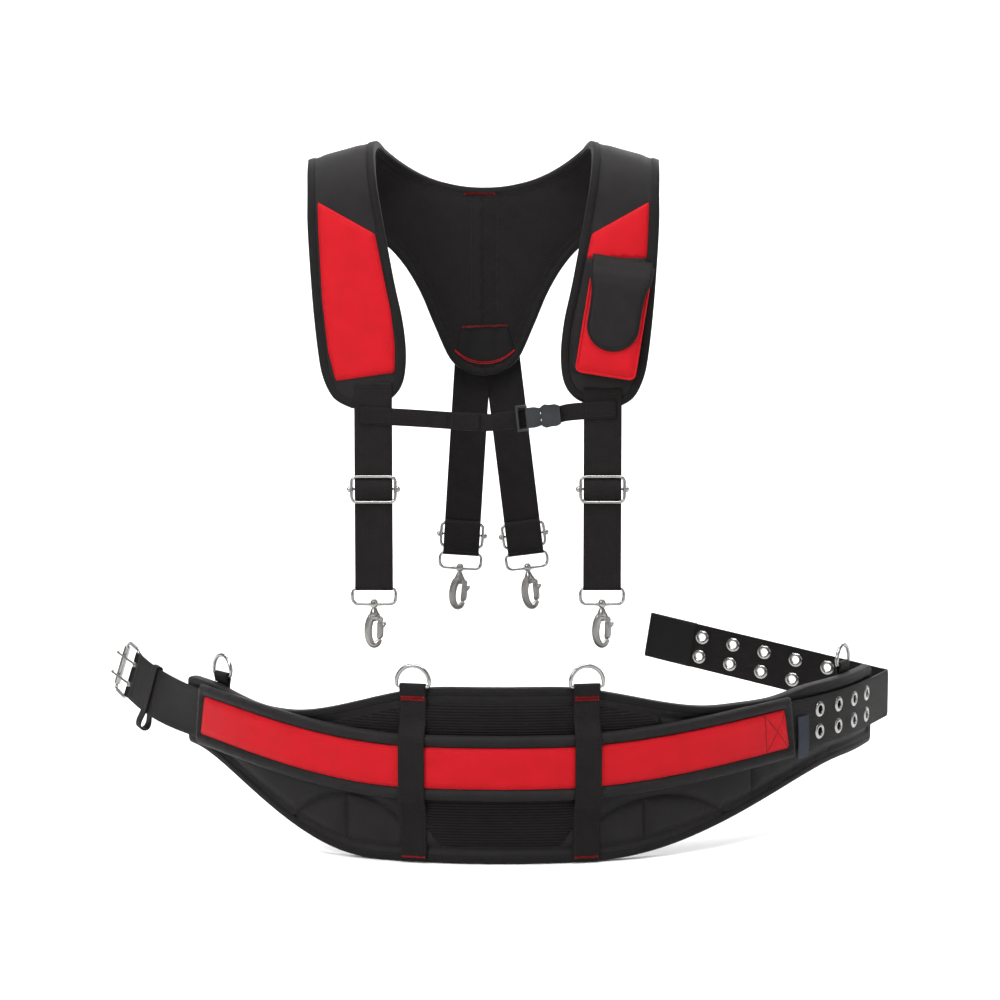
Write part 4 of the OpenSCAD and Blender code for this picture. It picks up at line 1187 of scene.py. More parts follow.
def make_grommets():
    r, h = 5.0, 2.1
    profile = [(r, 0), (r, h), (r + 0.25, h + 0.75), (r + 0.9, h + 1.15), (r + 2.2, h + 1.2), (r + 3.6, h + 0.85),
               (r + 4.6, h + 0.25), (r + 4.8, h - 0.15), (r + 0.8, h - 0.1), (r + 0.7, 0)]
    profile = profile[1:-1] + [(a, -b) for a, b in profile[-2:0:-1]]
    ring, ring_faces = lathe(profile, 36, loop=True)
    parts = []
    for at, row in HOLES:
        out, up = (v[0] for v in tongue_lines([at])[1:])
        spot = on_tongue(np.array([(at, row)]), [0.0])[0]
        parts.append((placed(ring, (spot, np.array([np.cross(up, out), up, out]))), ring_faces))
    points, faces, cloth = joined(parts)
    eyelets = piece("eyelets", points, faces, NICKEL, "belt", sharp=60)
    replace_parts(eyelets, "grommets")


def make_tip_wrap():
    x = np.arange(TAIL_AT + TAIL_LEN - 70, TAIL_AT + TAIL_LEN + 1.4, 3)
    up = tongue_lines(x)[2]
    path = on_tongue(np.column_stack([x, 0 * x]), 0 * x)
    points, faces, cloth = ribbon(path, up, STRAP_W + 1.6, 5.7, 14)
    wrap = piece("tongue_tip_tape", points, faces, TAPE, "belt", cloth)
    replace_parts(wrap, "tongue_tip_wrap")
    rows = [on_tongue(np.array([(x[k], -27), (x[k], 27)]), np.array([9.0, 9.0])) for k in (1, 2, -3)]
    rows += [along_tongue(x[1:-2], v) for v in (-28, 28)]
    sew("tip_stitching", rows, [wrap], BLACK_THREAD, "belt", "binding", pitch=3.4, length=2.5, width=0.6)


def make_tag():
    s = SLEEVE_RIGHT + 14
    route = spline([(20.4, 46), (20.9, 34), (21.8, 18), (21.4, 4), (20.6, -7)], 6)
    points, faces, cloth = belt_strip(s, 22, route, 0.7)
    tag = piece("plain_label", points, faces, TAG, "belt", cloth)
    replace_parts(tag, "care_tag")
    origin, axes = belt_frame(s, 0, 0)
    rows = [np.array([origin - axes[1] * 34 + axes[0] * x + axes[2] * z for z in (-5, 44)]) for x in (-9.5, 9.5)]
    sew("label_stitching", rows, [tag], BLACK_THREAD, "belt", "tag", pitch=2.8, length=2, width=0.4)


make_tongue()
make_grommets()
make_tip_wrap()
make_tag()


# ---------------------------------------------------------------- shoulder pads and yoke

CREST = math.pi * SHOULDER_R / 2
SIN_S, COS_S = math.sin(SLOPE), math.cos(SLOPE)


def unrolled(points, back=False):
    """Front or back view (x from the middle, z) laid flat: across the pad, and along it over the shoulder."""
    x, z = np.asarray(points, float).T[:2]
    across = x * COS_S - (z - AXIS_Z) * SIN_S
    up = x * SIN_S + (z - AXIS_Z) * COS_S
    along = np.where(up > 0, SHOULDER_R * np.arcsin(np.clip(up / SHOULDER_R, -1, 1)), up)
    return np.column_stack([across, 2 * CREST - along if back else along])


def below_crest(points):
    """The points of a front view that lie below the crest of the shoulder."""
    x, z = np.asarray(points, float).T
    return np.asarray(points, float)[x * SIN_S + (z - AXIS_Z) * COS_S < 0.96 * SHOULDER_R]


def on_harness(points, off):
    """Flat points (across, along, side) on the harness, at an offset outward."""
    across, along, side = np.asarray(points, float).T
    r = SHOULDER_R + np.asarray(off, float)
    a = np.clip(along / SHOULDER_R, 0, math.pi)
    up = r * np.sin(a) + np.minimum(along, 0) - np.maximum(along - 2 * CREST, 0)
    x = across * COS_S + up * SIN_S
    return np.column_stack([MID_X + side * x, MID_Y - r * np.cos(a), AXIS_Z - across * SIN_S + up * COS_S])


def sided(points, side):
    """Flat points with their side of the harness: 1 for the right half, -1 for the left."""
    return np.column_stack([points, np.full(len(points), float(side))])


PAD_OUTER = [(158, 431), (180, 443), (193, 468), (199, 500), (205, 560), (210, 640), (211, 690), (214, 740),
             (215, 800)]
PAD_INNER = [(136, 800), (134, 755), (130, 710), (122, 660), (108, 583), (98, 536), (94, 495), (98, 462), (112, 443),
             (134, 434)]
YOKE_SIDE = [(0, 467), (9, 467.8), (20, 471), (42, 487), (63, 532), (80, 572), (101, 607), (126, 633), (165, 656),
             (200, 682), (213, 715), (215, 800)]
RED_SHAPE = [(107, 474), (178, 464), (187, 500), (193.5, 560), (197.5, 640), (198.5, 678), (130, 640), (120, 590),
             (111, 545), (106.5, 505)]
RED_CUT, FLAP_REACH = 611, 30


def half_border():
    """Border of the right half, from the middle of the yoke's foot round to the middle of the neck."""
    neck_x = np.linspace(135, 0, 24)
    neck = np.column_stack([neck_x, 702 + 58 * (neck_x / 135) ** 2.2])
    foot = unrolled(below_crest(spline(YOKE_SIDE, 5)), back=True)
    outer = unrolled(below_crest(spline(PAD_OUTER, 5)))
    inner = unrolled(below_crest(spline(PAD_INNER, 5)))
    return np.vstack([foot, outer[::-1], inner[::-1], unrolled(below_crest(neck), back=True)])


MIDDLE_WAY = unit(unrolled([(0, 100)], back=True)[0] - unrolled([(0, 650)], back=True)[0])


def border_normals(border):
    """Unit vectors that point in from the half border."""
    t = unit(np.gradient(border, axis=0))
    return np.column_stack([t[:, 1], -t[:, 0]])


def shrunk(border, d):
    """The half border moved in by d, its two ends kept on the middle line."""
    moved = border + d * border_normals(border)
    for k, end in ((0, -1), (-1, 1)):
        moved[k] = border[k] + MIDDLE_WAY * d * end
    return moved


BORDER = resample(half_border(), 3.5)


def both_sides(flat, tris):
    """The half pattern joined to its mirror image, and which point of the half each of its points is."""
    world = on_harness(sided(flat, 1), 0)
    middle = np.abs(world[:, 0] - MID_X) < 0.02
    index = np.where(middle, np.arange(len(flat)), 0)
    index[~middle] = len(flat) + np.arange((~middle).sum())
    points = np.vstack([sided(flat, 1), sided(flat[~middle], -1)])
    source = np.concatenate([np.arange(len(flat)), np.flatnonzero(~middle)])
    return points, list(tris) + [(index[c], index[b], index[a]) for a, b, c in tris], source


YOKE_SEAMS = [unrolled([(16.5, 480), (16.5, 694)], back=True)]


def harness_pattern(inset, step=5.5):
    """Flat half pattern with its distances to the border and to the sewn lines."""
    edge = shrunk(BORDER, inset)
    flat, tris = fill(edge, step, YOKE_SEAMS + [crossing(edge)])
    border = distance(flat, segments([edge]))
    sewn = distance(flat, segments([shrunk(BORDER, 14)] + YOKE_SEAMS))
    return flat, tris, border, sewn


def crossing(edge):
    """The line over the crest, from border to border."""
    at = [edge[k] + (CREST - edge[k, 1]) / (edge[k + 1, 1] - edge[k, 1]) * (edge[k + 1] - edge[k])
          for k in range(len(edge) - 1) if (edge[k, 1] - CREST) * (edge[k + 1, 1] - CREST) <= 0]
    lo, hi = sorted((p[0] for p in at))
    return np.array([(lo + 0.6, CREST), (hi - 0.6, CREST)])


def make_harness():
    flat, tris, border, sewn = harness_pattern(1.0)
    rise = crown(border, 15) * (0.25 + 0.75 * crown(sewn, 12))
    lump = 0.3 * ripples(flat, 30, 21) * crown(border, 16)
    front, back = -1.9 + 2.3 * rise + lump, np.full(len(flat), -9.2)
    pieces = []
    for name, side in (("right", 1), ("left", -1)):
        used, part = keep(flat, tris, lambda m: m[:, 1] < CREST)
        if side < 0:
            part = [t[::-1] for t in part]
        points, faces, cloth = slab(sided(flat[used], side), part, on_harness, front[used], back[used])
        pad_piece = piece(f"shoulder_pad_{name}_cover", points, faces, NYLON, "suspenders", cloth,
                          sharp=50)
        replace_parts(pad_piece, f"shoulder_pad_{name}")
        held = (border[used] < 10) | (flat[used, 1] > CREST - 3)
        simulate(pad_piece, np.concatenate([held, np.ones(len(used), bool)]), pressure=3.0, cap=1.2)
        pieces.append(pad_piece)
    used, part = keep(flat, tris, lambda m: m[:, 1] > CREST)
    full, all_tris, source = both_sides(flat[used], part)
    points, faces, cloth = slab(full, all_tris, on_harness, front[used][source], back[used][source])
    yoke = piece("yoke_cover", points, faces, NYLON, "suspenders", cloth, sharp=50)
    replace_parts(yoke, "back_yoke")
    return pieces + [yoke]


def make_harness_liner():
    flat, tris, border, sewn = harness_pattern(2.0)
    full, all_tris, source = both_sides(flat, tris)
    puff = 2.2 * crown(border, 15) * (0.1 + 0.9 * crown(sewn, 12)) + 0.3 * ripples(flat, 26, 31) * crown(border, 14)
    back = -9.5 - puff[source]
    points, faces, cloth = slab(full, all_tris, on_harness, back + 0.9, back)
    return piece("harness_liner", points, faces, MESH, "suspenders", cloth)


harness = make_harness()
harness_liner = make_harness_liner()


def both_borders(half):
    """A half border and its mirror image, as flat sided points all the way round."""
    return np.vstack([sided(half, 1), sided(half[::-1][1:-1], -1)])


def make_harness_tape():
    inner = border_normals(BORDER)
    inner[0], inner[-1] = -MIDDLE_WAY, MIDDLE_WAY
    normal = sided(np.vstack([inner, inner[::-1][1:-1]]), 0)
    section = tape_section(9.4, -0.5, -9.8, 0.7)
    points, faces, cloth = edge_tape(both_borders(BORDER), normal, on_harness, section)
    tape = piece("harness_edge_tape", points, faces, TAPE, "suspenders", cloth)
    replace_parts(tape, "harness_bindings")
    return tape


harness_tape = make_harness_tape()


def harness_runs(lines, off, side=None):
    """3-D runs of flat lines, on one side or on both."""
    return [on_harness(sided(line, k), off) for line in lines for k in ([side] if side else [1, -1])]


def harness_ring(d, off):
    """3-D line all the way round, moved in by d from the border."""
    return on_harness(ring_line(both_borders(shrunk(BORDER, d))), off)


sew("harness_tape_stitching", [harness_ring(8.2, 9.0)], [harness_tape], BLACK_THREAD, "suspenders",
    "binding", pitch=4, length=3, width=0.6)
sew("harness_inner_stitching", [harness_ring(8.2, -19.0), harness_ring(14, -19.0)],
    [harness_tape, harness_liner], BLACK_THREAD, "suspenders", "binding", pitch=4, length=3, width=0.55)
sew("yoke_seam_stitching", harness_runs([resample(YOKE_SEAMS[0], 3)], -19.0), [harness_liner], BLACK_THREAD,
    "suspenders", "binding", pitch=3.8, length=2.8, width=0.6)


def harness_panel(name, outline, side, material, slot, puff):
    """A padded panel on one shoulder pad. Outline in front view, x from the middle."""
    flat_outline = unrolled(outline)
    p, tris = fill(flat_outline, 4.5)
    edge = edge_distance(p, flat_outline, 4)
    rise = 1.0 + puff * crown(edge, 12) + 0.22 * puff * ripples(p, 22, 3) * crown(edge, 12)
    tris = tris if side > 0 else [t[::-1] for t in tris]
    at, way = laid(harness, lambda q, off: on_harness(sided(q, side), off), p, 12)
    return laid_panel(name, p, tris, at, way, -0.3, rise, material, "suspenders", slot)


def cut_at(outline, height, upper):
    """The part of a convex outline above or below a level line."""
    sign = 1 if upper else -1
    out = []
    for a, b in zip(outline, np.roll(outline, -1, axis=0)):
        if sign * (a[1] - height) >= 0:
            out.append(a)
        if (a[1] - height) * (b[1] - height) < 0:
            out.append(a + (b - a) * (height - a[1]) / (b[1] - a[1]))
    return np.array(out)


def make_red_panels():
    whole = rounded(RED_SHAPE, 2, 3)
    left = harness_panel("red_panel_left_fabric", whole, -1, RED, "red_fabric", 1.5)
    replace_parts(left, "red_panel_left")
    upper = cut_at(whole, RED_CUT, True)
    right = harness_panel("red_panel_right_fabric", upper, 1, RED, "red_fabric", 1.0)
    harness_panel("pocket_backing", cut_at(whole, RED_CUT, False), 1, NYLON, "pad_fabric", 0.6)
    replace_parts(right, "red_panel_right")
    clear = cut_at(whole, RED_CUT + FLAP_REACH, True)
    low = np.flatnonzero(np.abs(clear[:, 1] - RED_CUT - FLAP_REACH) < 1e-6)
    clear = np.roll(clear, -(low[1] if low[1] == low[0] + 1 else low[0]), axis=0)
    for name, side, panel, outline in (("left", -1, left, whole), ("right", 1, right, clear)):
        hem = unrolled(outline)
        hem = hem + inward(hem) * 2.4
        hem = ring_line(hem) if side < 0 else hem
        sew(f"red_panel_{name}_hem", [on_harness(sided(resample(hem, 3), side), 6.0)], [panel], RED_THREAD,
            "suspenders", "red_fabric", pitch=3.6, length=2.6, width=0.5)


make_red_panels()

PATCH = [(-37, 496), (-20, 484), (0, 480), (20, 484), (39, 497), (29, 531), (-28, 529)]


def mirrored_panel(name, outline, material, slot, over, lift=0.0, thick=0.8):
    """A panel across the middle of the yoke."""
    p, tris = fill(np.asarray(outline, float), 4.0)
    spot = np.column_stack([unrolled(np.abs(p), back=True), np.where(p[:, 0] < 0, -1, 1)])
    at, way = laid([harness_liner] if over < 0 else harness, on_harness, spot, over)
    tris = [t[::-1] for t in tris] if over > 0 else tris
    return laid_panel(name, p, tris, at, way, lift - 0.3, lift + thick, material, "suspenders", slot)


inner_patch = mirrored_panel("yoke_inner_patch", rounded(PATCH, 3, 3), TAPE, "webbing", -19)
outer_patch = mirrored_panel("yoke_outer_patch", rounded([(-48, 500), (-34, 486), (0, 478), (34, 486), (48, 500),
                             (44, 530), (-44, 530)], 4, 3), WEB, "webbing", 19, lift=4.6, thick=1.6)
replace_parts(outer_patch, "yoke_patch")


def yoke_line(points, off=-19.0):
    """A line in front view across the yoke, off its inner side."""
    p = resample(np.asarray(points, float), 1.5)
    flat = unrolled(np.column_stack([np.abs(p[:, 0]), p[:, 1]]), back=True)
    return on_harness(np.column_stack([flat, np.where(p[:, 0] < 0, -1, 1)]), off)


ARC_SEAM = spline([(-38, 497), (-20, 485), (0, 480.5), (21, 485), (40, 498)])
sew("yoke_arc_stitching", [yoke_line(ARC_SEAM), yoke_line(ARC_SEAM + [0, 2.2])], [inner_patch, harness_liner],
    RED_THREAD, "suspenders", "red_fabric", pitch=2.4, length=2.1, width=1.0)
find_liner = surface(harness_liner, inner_patch)
tacks = []
for a, b in (((-28, 528.6), (29, 530.6)), ((-24, 695), (15, 695.4))):
    at, normal = find_liner(yoke_line([a, b])[[0, -1]])
    tacks.append(bar_tack(at[0] + normal[0] * 0.4, at[1] + normal[1] * 0.4, (0, -1, 0), 3.0))
tack_piece("yoke_bar_tacks", tacks, "suspenders")


# ---------------------------------------------------------------- hanging straps and their hardware

# Foot of each hanging strap (x, y, z), the height of its top, its lean, and its slider's height over the foot
HANG = {"front_left": (-153, 82, 213, 462, 0, 120), "front_right": (124, 82, 213, 455, 0, 120),
        "rear_left": (-50, 224.5, 240, 500, 3.6, 23), "rear_right": (33, 226.6, 240, 500, -7, 23)}
FOLD_Y, LOOP_R, LOOP_DROP = WEB_T + 0.15, 1.7, 20


def hang_place(name):
    x, y, z, _, lean, _ = HANG[name]
    return np.array([x, y, z], float), turned("Y", lean)


def flat_ribbon(route, width, thick, wave=0.0, columns=12):
    """Webbing square to X, from (y, z) points."""
    route = resample(np.asarray(route, float), 2.4)
    sway = wave * np.sin(route[:, 1] / 37) * ease(route[:, 1], 20, 60)
    path = np.column_stack([0 * route[:, 0], route[:, 0] + sway, route[:, 1]])
    return ribbon(path, (1, 0, 0), width, thick, columns)


def make_hanging(name):
    _, _, z, top, lean, _ = HANG[name]
    place = hang_place(name)
    length = (top - z) / math.cos(math.radians(lean))
    fold = fold_round(FOLD_Y, 0, 2.65, 180, 360, 9)
    back = 50 if "front" in name else 9
    route = [(0.9, length), (0.9, 14), (0.2, 7), *fold, (4.3, 6), (3.0, 10), (3.0, max(back, 12))]
    points, faces, cloth = flat_ribbon(route, WEB_W, WEB_T, wave=0.25)
    strap = piece(f"{name}_strap", placed(points, place), faces, WEB, "suspenders", cloth)
    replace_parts(strap, f"{name.split('_')[0]}_webbing_{name.split('_')[1]}")
    if "front" in name:
        rows = [[(-20, -9, length - 6), (20, -9, length - 6)], [(-20, -9, length - 9), (20, -9, length - 9)]]
        rows = [placed(np.array(row, float), place) for row in rows]
        sew(f"{name}_strap_stitching", rows, [strap], BLACK_THREAD, "suspenders", "webbing", pitch=3, length=2.2,
            width=0.5)


def make_slider(name):
    place = hang_place(name)
    slide = HANG[name][5]
    body = f"slider_{name}"
    half, tall, y = 26.6, 15.5, -2.2
    line = resample(rounded([(-half, -tall), (half, -tall), (half, tall), (-half, tall)], 7.5, 8), 1.3, closed=True)
    frame_part = wire(upright(line, y), 1.85, (0, 1, 0), closed=True,
                      sides=14)
    parts = [frame_part]
    for side in (-1, 1):
        ball = lathe([(3.9 * math.sin(a), 3.9 * math.cos(a)) for a in np.linspace(0.12, math.pi - 0.12, 11)], 18)
        parts.append((ball[0] + [side * (half + 2), 0.9, 0], ball[1]))
        collar = lathe([(2.0, -2), (2.6, -1.6), (2.6, 1.6), (2.0, 2)], 16)
        parts.append((collar[0][:, [2, 0, 1]] + [side * (half - 0.2), 3.2, 0], collar[1]))
    parts.append(round_bar((-half - 1, 3.65, 0), (half + 1, 3.65, 0), 1.5))
    points, faces, cloth = joined(parts)
    slider = piece(f"{body}_wire", placed(points + [0, 0, slide], place), faces, NICKEL, body,
                   sharp=60)
    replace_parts(slider, body)
    if "front" in name:
        half = [(-0.5, -13.3), (-1.5, -11), (-3.1, -6.5)]
        route = spline(half + [(-3.9, 0)] + [(y, -z) for y, z in half[::-1]], 5)
    else:
        route = spline([(-0.9, -22), (-3.2, -18), (-5.0, -11), (-5.3, 3), (-5.2, 13), (-4.4, 17.2), (-2.2, 18.4),
                        (-0.2, 17.4), (-0.3, 14)], 5)
    points, faces, cloth = flat_ribbon(route, 45, 1.5)
    piece(f"{body}_webbing", placed(points + [0, 0, slide], place), faces, WEB, body, cloth)


def make_hook_loop(name):
    place = hang_place(name)
    body = f"hook_loop_{name}"
    half = 26.4
    line = rounded([(-half, 0), (-half, -LOOP_DROP), (half, -LOOP_DROP), (half, 0)], 8.5, 8)
    line = resample(line, 1.3, closed=True)
    thick = LOOP_R + 0.4 * ease(-line[:, 1], 4, 9)
    parts = [wire(upright(line), thick, (0, 1, 0), closed=True, sides=14)]
    boss = lathe([(2.05, -4), (4.0, -4), (4.5, -3.2), (4.5, 3.2), (4.0, 4), (2.05, 4)], 28, loop=True)
    parts.append((boss[0] + [0, 0, -LOOP_DROP], boss[1]))
    for side in (-1, 1):
        parts.append(round_bar((side * 3.4, 0, -LOOP_DROP), (side * 8, 0, -LOOP_DROP), 2.3))
    points, faces, cloth = joined(parts)
    loop = piece(f"{body}_wire", placed(points + [0, FOLD_Y, 0], place), faces, NICKEL, body, sharp=50)
    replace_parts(loop, body)


def melted(parts, voxel, smooth):
    """Joins overlapping solids into one cast skin: points and faces, in millimetres."""
    points, faces, cloth = joined(parts)
    data = bpy.data.meshes.new("melt")
    data.from_pydata(points.tolist(), [], [tuple(int(i) for i in f) for f in faces])
    bm = bmesh.new()
    bm.from_mesh(data)
    bmesh.ops.recalc_face_normals(bm, faces=bm.faces)
    bm.to_mesh(data)
    bm.free()
    ob = bpy.data.objects.new("melt", data)
    bpy.context.scene.collection.objects.link(ob)
    remesh = ob.modifiers.new("skin", "REMESH")
    remesh.mode = "VOXEL"
    remesh.voxel_size = voxel
    soft = ob.modifiers.new("soft", "SMOOTH")
    soft.factor = 0.5
    soft.iterations = smooth
    done = bpy.data.meshes.new_from_object(ob.evaluated_get(bpy.context.evaluated_depsgraph_get()))
    out = np.array([v.co[:] for v in done.vertices]), [tuple(f.vertices) for f in done.polygons]
    bpy.data.objects.remove(ob)
    bpy.data.meshes.remove(data)
    bpy.data.meshes.remove(done)
    return out


def ellipsoid(centre, radii, n=14, sides=24):
    p, f = lathe([(math.sin(a), math.cos(a)) for a in np.linspace(0.08, math.pi - 0.08, n)], sides)
    return p * radii + centre, f


def pin(centre, r, half, sides=28):
    """A cylinder along Y with eased rims."""
    p, f = lathe([(r - 0.5, -half), (r, -half + 0.5), (r, half - 0.5), (r - 0.5, half)], sides)
    return p[:, [0, 2, 1]] + centre, f


PIVOT = np.array([7.2, 0, -19])


def hook_form():
    """Snap hook: X across, Z up, from the middle of its swivel boss."""
    a = np.radians(np.linspace(27, -224, 60))
    line = np.column_stack([7.7 * np.sin(a) * (1 - 0.1 * np.cos(a)) + 0.2, 0 * a, 18.0 * np.cos(a) - 32.2])
    turn = np.degrees(a)
    r = np.interp(-turn, [-27, 0, 60, 90, 150, 180, 212, 224], [4.6, 5.0, 5.0, 4.9, 4.5, 4.1, 3.9, 3.3])
    body, body_faces = wire(line, r, (0, 1, 0), sides=20)
    parts = [(body * [1, 0.76, 1], body_faces)]
    parts.append(ellipsoid((0.3, 0, -15), (7.2, 3.6, 6.4)))
    tip = line[-1]
    parts.append(ellipsoid(tip, (3.6, 2.7, 2.6)))
    stem = [(0.1, -15), (5.2, -14.6), (5.6, -12.2), (5.0, -9.2), (3.7, -6.3), (3.4, -4.9), (0.1, -4.6)]
    parts.append(lathe(stem, 28))
    for y in (-2.45, 2.45):
        parts.append(pin(PIVOT + [0, y, 0], 3.9, 0.85))
        parts.append(ellipsoid((4.2, y, -16.6), (4.4, 0.85, 3.2)))
    skin = melted(parts, 0.42, 3)
    post = lathe([(0.1, -8), (2.0, -8), (2.0, 4.2), (3.3, 4.3), (3.4, 4.8), (3.2, 5.6), (2.2, 6.0), (0.1, 6.1)], 24)
    rivet = pin(PIVOT, 1.5, 3.55)
    return joined([skin, post, rivet])


def gate_form():
    """Sprung gate: hub on the pivot, arm down the mouth, and a thumb lever."""
    arm = spline([(7.2, -19), (7.3, -25), (7.4, -32), (7.0, -38), (6.3, -41.0)], 7)
    r = np.interp(np.linspace(0, 1, len(arm)), [0, 0.2, 0.8, 1], [2.2, 4.1, 4.2, 3.4])
    body, faces = wire(upright(arm), r, (0, 1, 0), sides=16)
    parts = [(body * [1, 0.7, 1], faces), pin(PIVOT, 3.2, 1.35), ellipsoid((6.2, 0, -40.8), (3.4, 2.4, 2.3))]
    lever = spline([(8.6, -28.6), (10.8, -26.8), (12.6, -24.8), (13.0, -23.4)], 5)
    r = np.linspace(2.6, 1.7, len(lever))
    body, faces = wire(upright(lever), r, (0, 1, 0), sides=14)
    parts.append((body * [1, 1.1, 1], faces))
    parts.append(ellipsoid((13.0, 0, -23.6), (1.9, 2.4, 2.0)))
    return melted(parts, 0.42, 2)


hook_mesh, gate_mesh = hook_form(), gate_form()
for name in HANG:
    make_hanging(name)
    make_slider(name)
    make_hook_loop(name)
    place = hang_place(name)
    hook = piece(f"hook_{name}_cast", placed(hook_mesh[0] + [0, FOLD_Y, -LOOP_DROP], place), hook_mesh[1], ZINC,
                 f"hook_{name}", sharp=55)
    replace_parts(hook, f"hook_{name}")
    gate = piece(f"gate_{name}_cast", placed(gate_mesh[0] + [0, FOLD_Y, -LOOP_DROP], place), gate_mesh[1], ZINC,
                 f"gate_{name}", sharp=55)
    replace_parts(gate, f"gate_{name}")


# ---------------------------------------------------------------- chest strap and buckle

CHEST_H, CHEST_Y = 21, 82 - WEB_T - 0.4


def chest_web(name, line, off, thick=WEB_T, node=None):
    """Chest webbing along (x, z) points, standing on edge."""
    line = resample(spline(line, 8), 2.4)
    path = upright(line, CHEST_Y + off)
    points, faces, cloth = ribbon(path, (0, 0, 1), CHEST_H, thick, 8)
    strap = piece(name, points, faces, WEB, "suspenders", cloth)
    if node:
        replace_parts(strap, node)
    return strap


left_web = chest_web("chest_web_left", [(-169, 423), (-95, 418.8), (-20.5, 414), (8, 416.4), (41, 420.5)], WEB_T / 2,
                     node="chest_webbing_left")
left_ply = chest_web("chest_web_left_ply", [(-62, 416.6), (-43, 415.4), (-24, 414.2)], -WEB_T / 2 + 0.1)
right_web = chest_web("chest_web_right", [(71.5, 423.7), (83.5, 426.4), (110, 428.6), (140, 430)], WEB_T / 2,
                      node="chest_webbing_right")


def box_stitch(x0, x1, z, tilt, y=70.0, h=7.5):
    rise = (x1 - x0) * tilt
    corners = [(x0, y, z - h), (x1, y, z - h + rise), (x1, y, z + h + rise), (x0, y, z + h), (x0, y, z - h)]
    return resample(np.array(corners, float), 2.5)


sew("chest_stitching", [box_stitch(-165, -133, 422.7, -0.05), box_stitch(-58, -28, 416.4, -0.05)],
    [left_web, left_ply], BLACK_THREAD, "suspenders", "webbing", pitch=2.8, length=2.1, width=0.55)
sew("chest_stitching_right", [box_stitch(104, 136, 428.2, 0.05)], [right_web], BLACK_THREAD, "suspenders", "webbing",
    pitch=2.8, length=2.1, width=0.55)


def softened(node, body, width=0.7):
    """The CAD part with moulded, rounded edges."""
    source = bpy.data.objects[node] if node in bpy.data.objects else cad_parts[node]
    bm = bmesh.new()
    bm.from_mesh(source.data)
    bmesh.ops.remove_doubles(bm, verts=bm.verts, dist=1e-5)
    bmesh.ops.dissolve_limit(bm, angle_limit=math.radians(4), verts=bm.verts, edges=bm.edges)
    points = [v.co / MM for v in bm.verts]
    faces = [[v.index for v in f.verts] for f in bm.faces]
    bm.free()
    ob = piece(f"{node}_moulded", [p[:] for p in points], faces, PLASTIC, body)
    bevel = ob.modifiers.new("round", "BEVEL")
    bevel.width = width * MM
    bevel.segments = 3
    bevel.limit_method = "ANGLE"
    bevel.angle_limit = math.radians(32)
    bevel.harden_normals = True
    new = bpy.data.meshes.new_from_object(ob.evaluated_get(bpy.context.evaluated_depsgraph_get()))
    ob.modifiers.clear()
    new.name = ob.name
    ob.data = new
    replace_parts(ob, node)


softened("chest_buckle_female", "suspenders", 0.8)
softened("chest_buckle_male", "chest_buckle_male", 0.6)
softened("male_arm_upper", "male_arm_upper", 0.4)
softened("male_arm_lower", "male_arm_lower", 0.4)


# ---------------------------------------------------------------- phone pocket

POCKET_PLACE = (np.array([148, 82.6, 611]), turned("Y", 9))
POCKET_D, POCKET_H, POCKET_TOP = 16, 143, 25


def spread(points):
    """Widths on the pocket's face, which grows a little towards its foot."""
    return points[:, 0] * (1 + 0.02 * ease(-points[:, 1], 30, 140))


def make_pocket():
    """Gusseted pocket body: rounded box whose face bulges, with piping round the face."""
    foot = -POCKET_H + 1.5
    outline = rounded([(-34.5, foot), (34.5, foot), (35, -POCKET_TOP), (-35, -POCKET_TOP)], 7, 5)
    p, tris = fill(outline, 4.0)
    edge = edge_distance(p, outline, 4)
    front = -POCKET_D + 4.0 - 3.6 * crown(edge, 13) + 0.35 * ripples(p, 24, 41) * crown(edge, 12)
    face = np.column_stack([spread(p), front, p[:, 1]])
    points = placed(np.vstack([face, upright(p, 0.2)]), POCKET_PLACE)
    cloth = np.vstack([p, p + [0, POCKET_D]])
    body = piece("pocket_body", points, shell_faces(tris, len(p)), RED, "suspenders", cloth, sharp=48)
    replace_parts(body, "phone_pocket")
    ring = resample(outline, 2.5, closed=True)
    line = np.column_stack([spread(ring), np.full(len(ring), -POCKET_D + 3.8), ring[:, 1]])
    points, faces = wire(line, 1.5, (0, 1, 0), closed=True, sides=12)
    cloth = np.column_stack([points[:, 0], points[:, 2]])
    piece("pocket_piping", placed(points, POCKET_PLACE), faces, RED, "suspenders", cloth)


def flap_offset(z):
    """How far out the flap hangs, at a height below its seam."""
    return np.interp(-z, [0, 6, 14, 22, 34, 60, 90, 112], [1.6, 5.5, 11.6, 15.6, 18.0, 18.6, 18.4, 17.6])


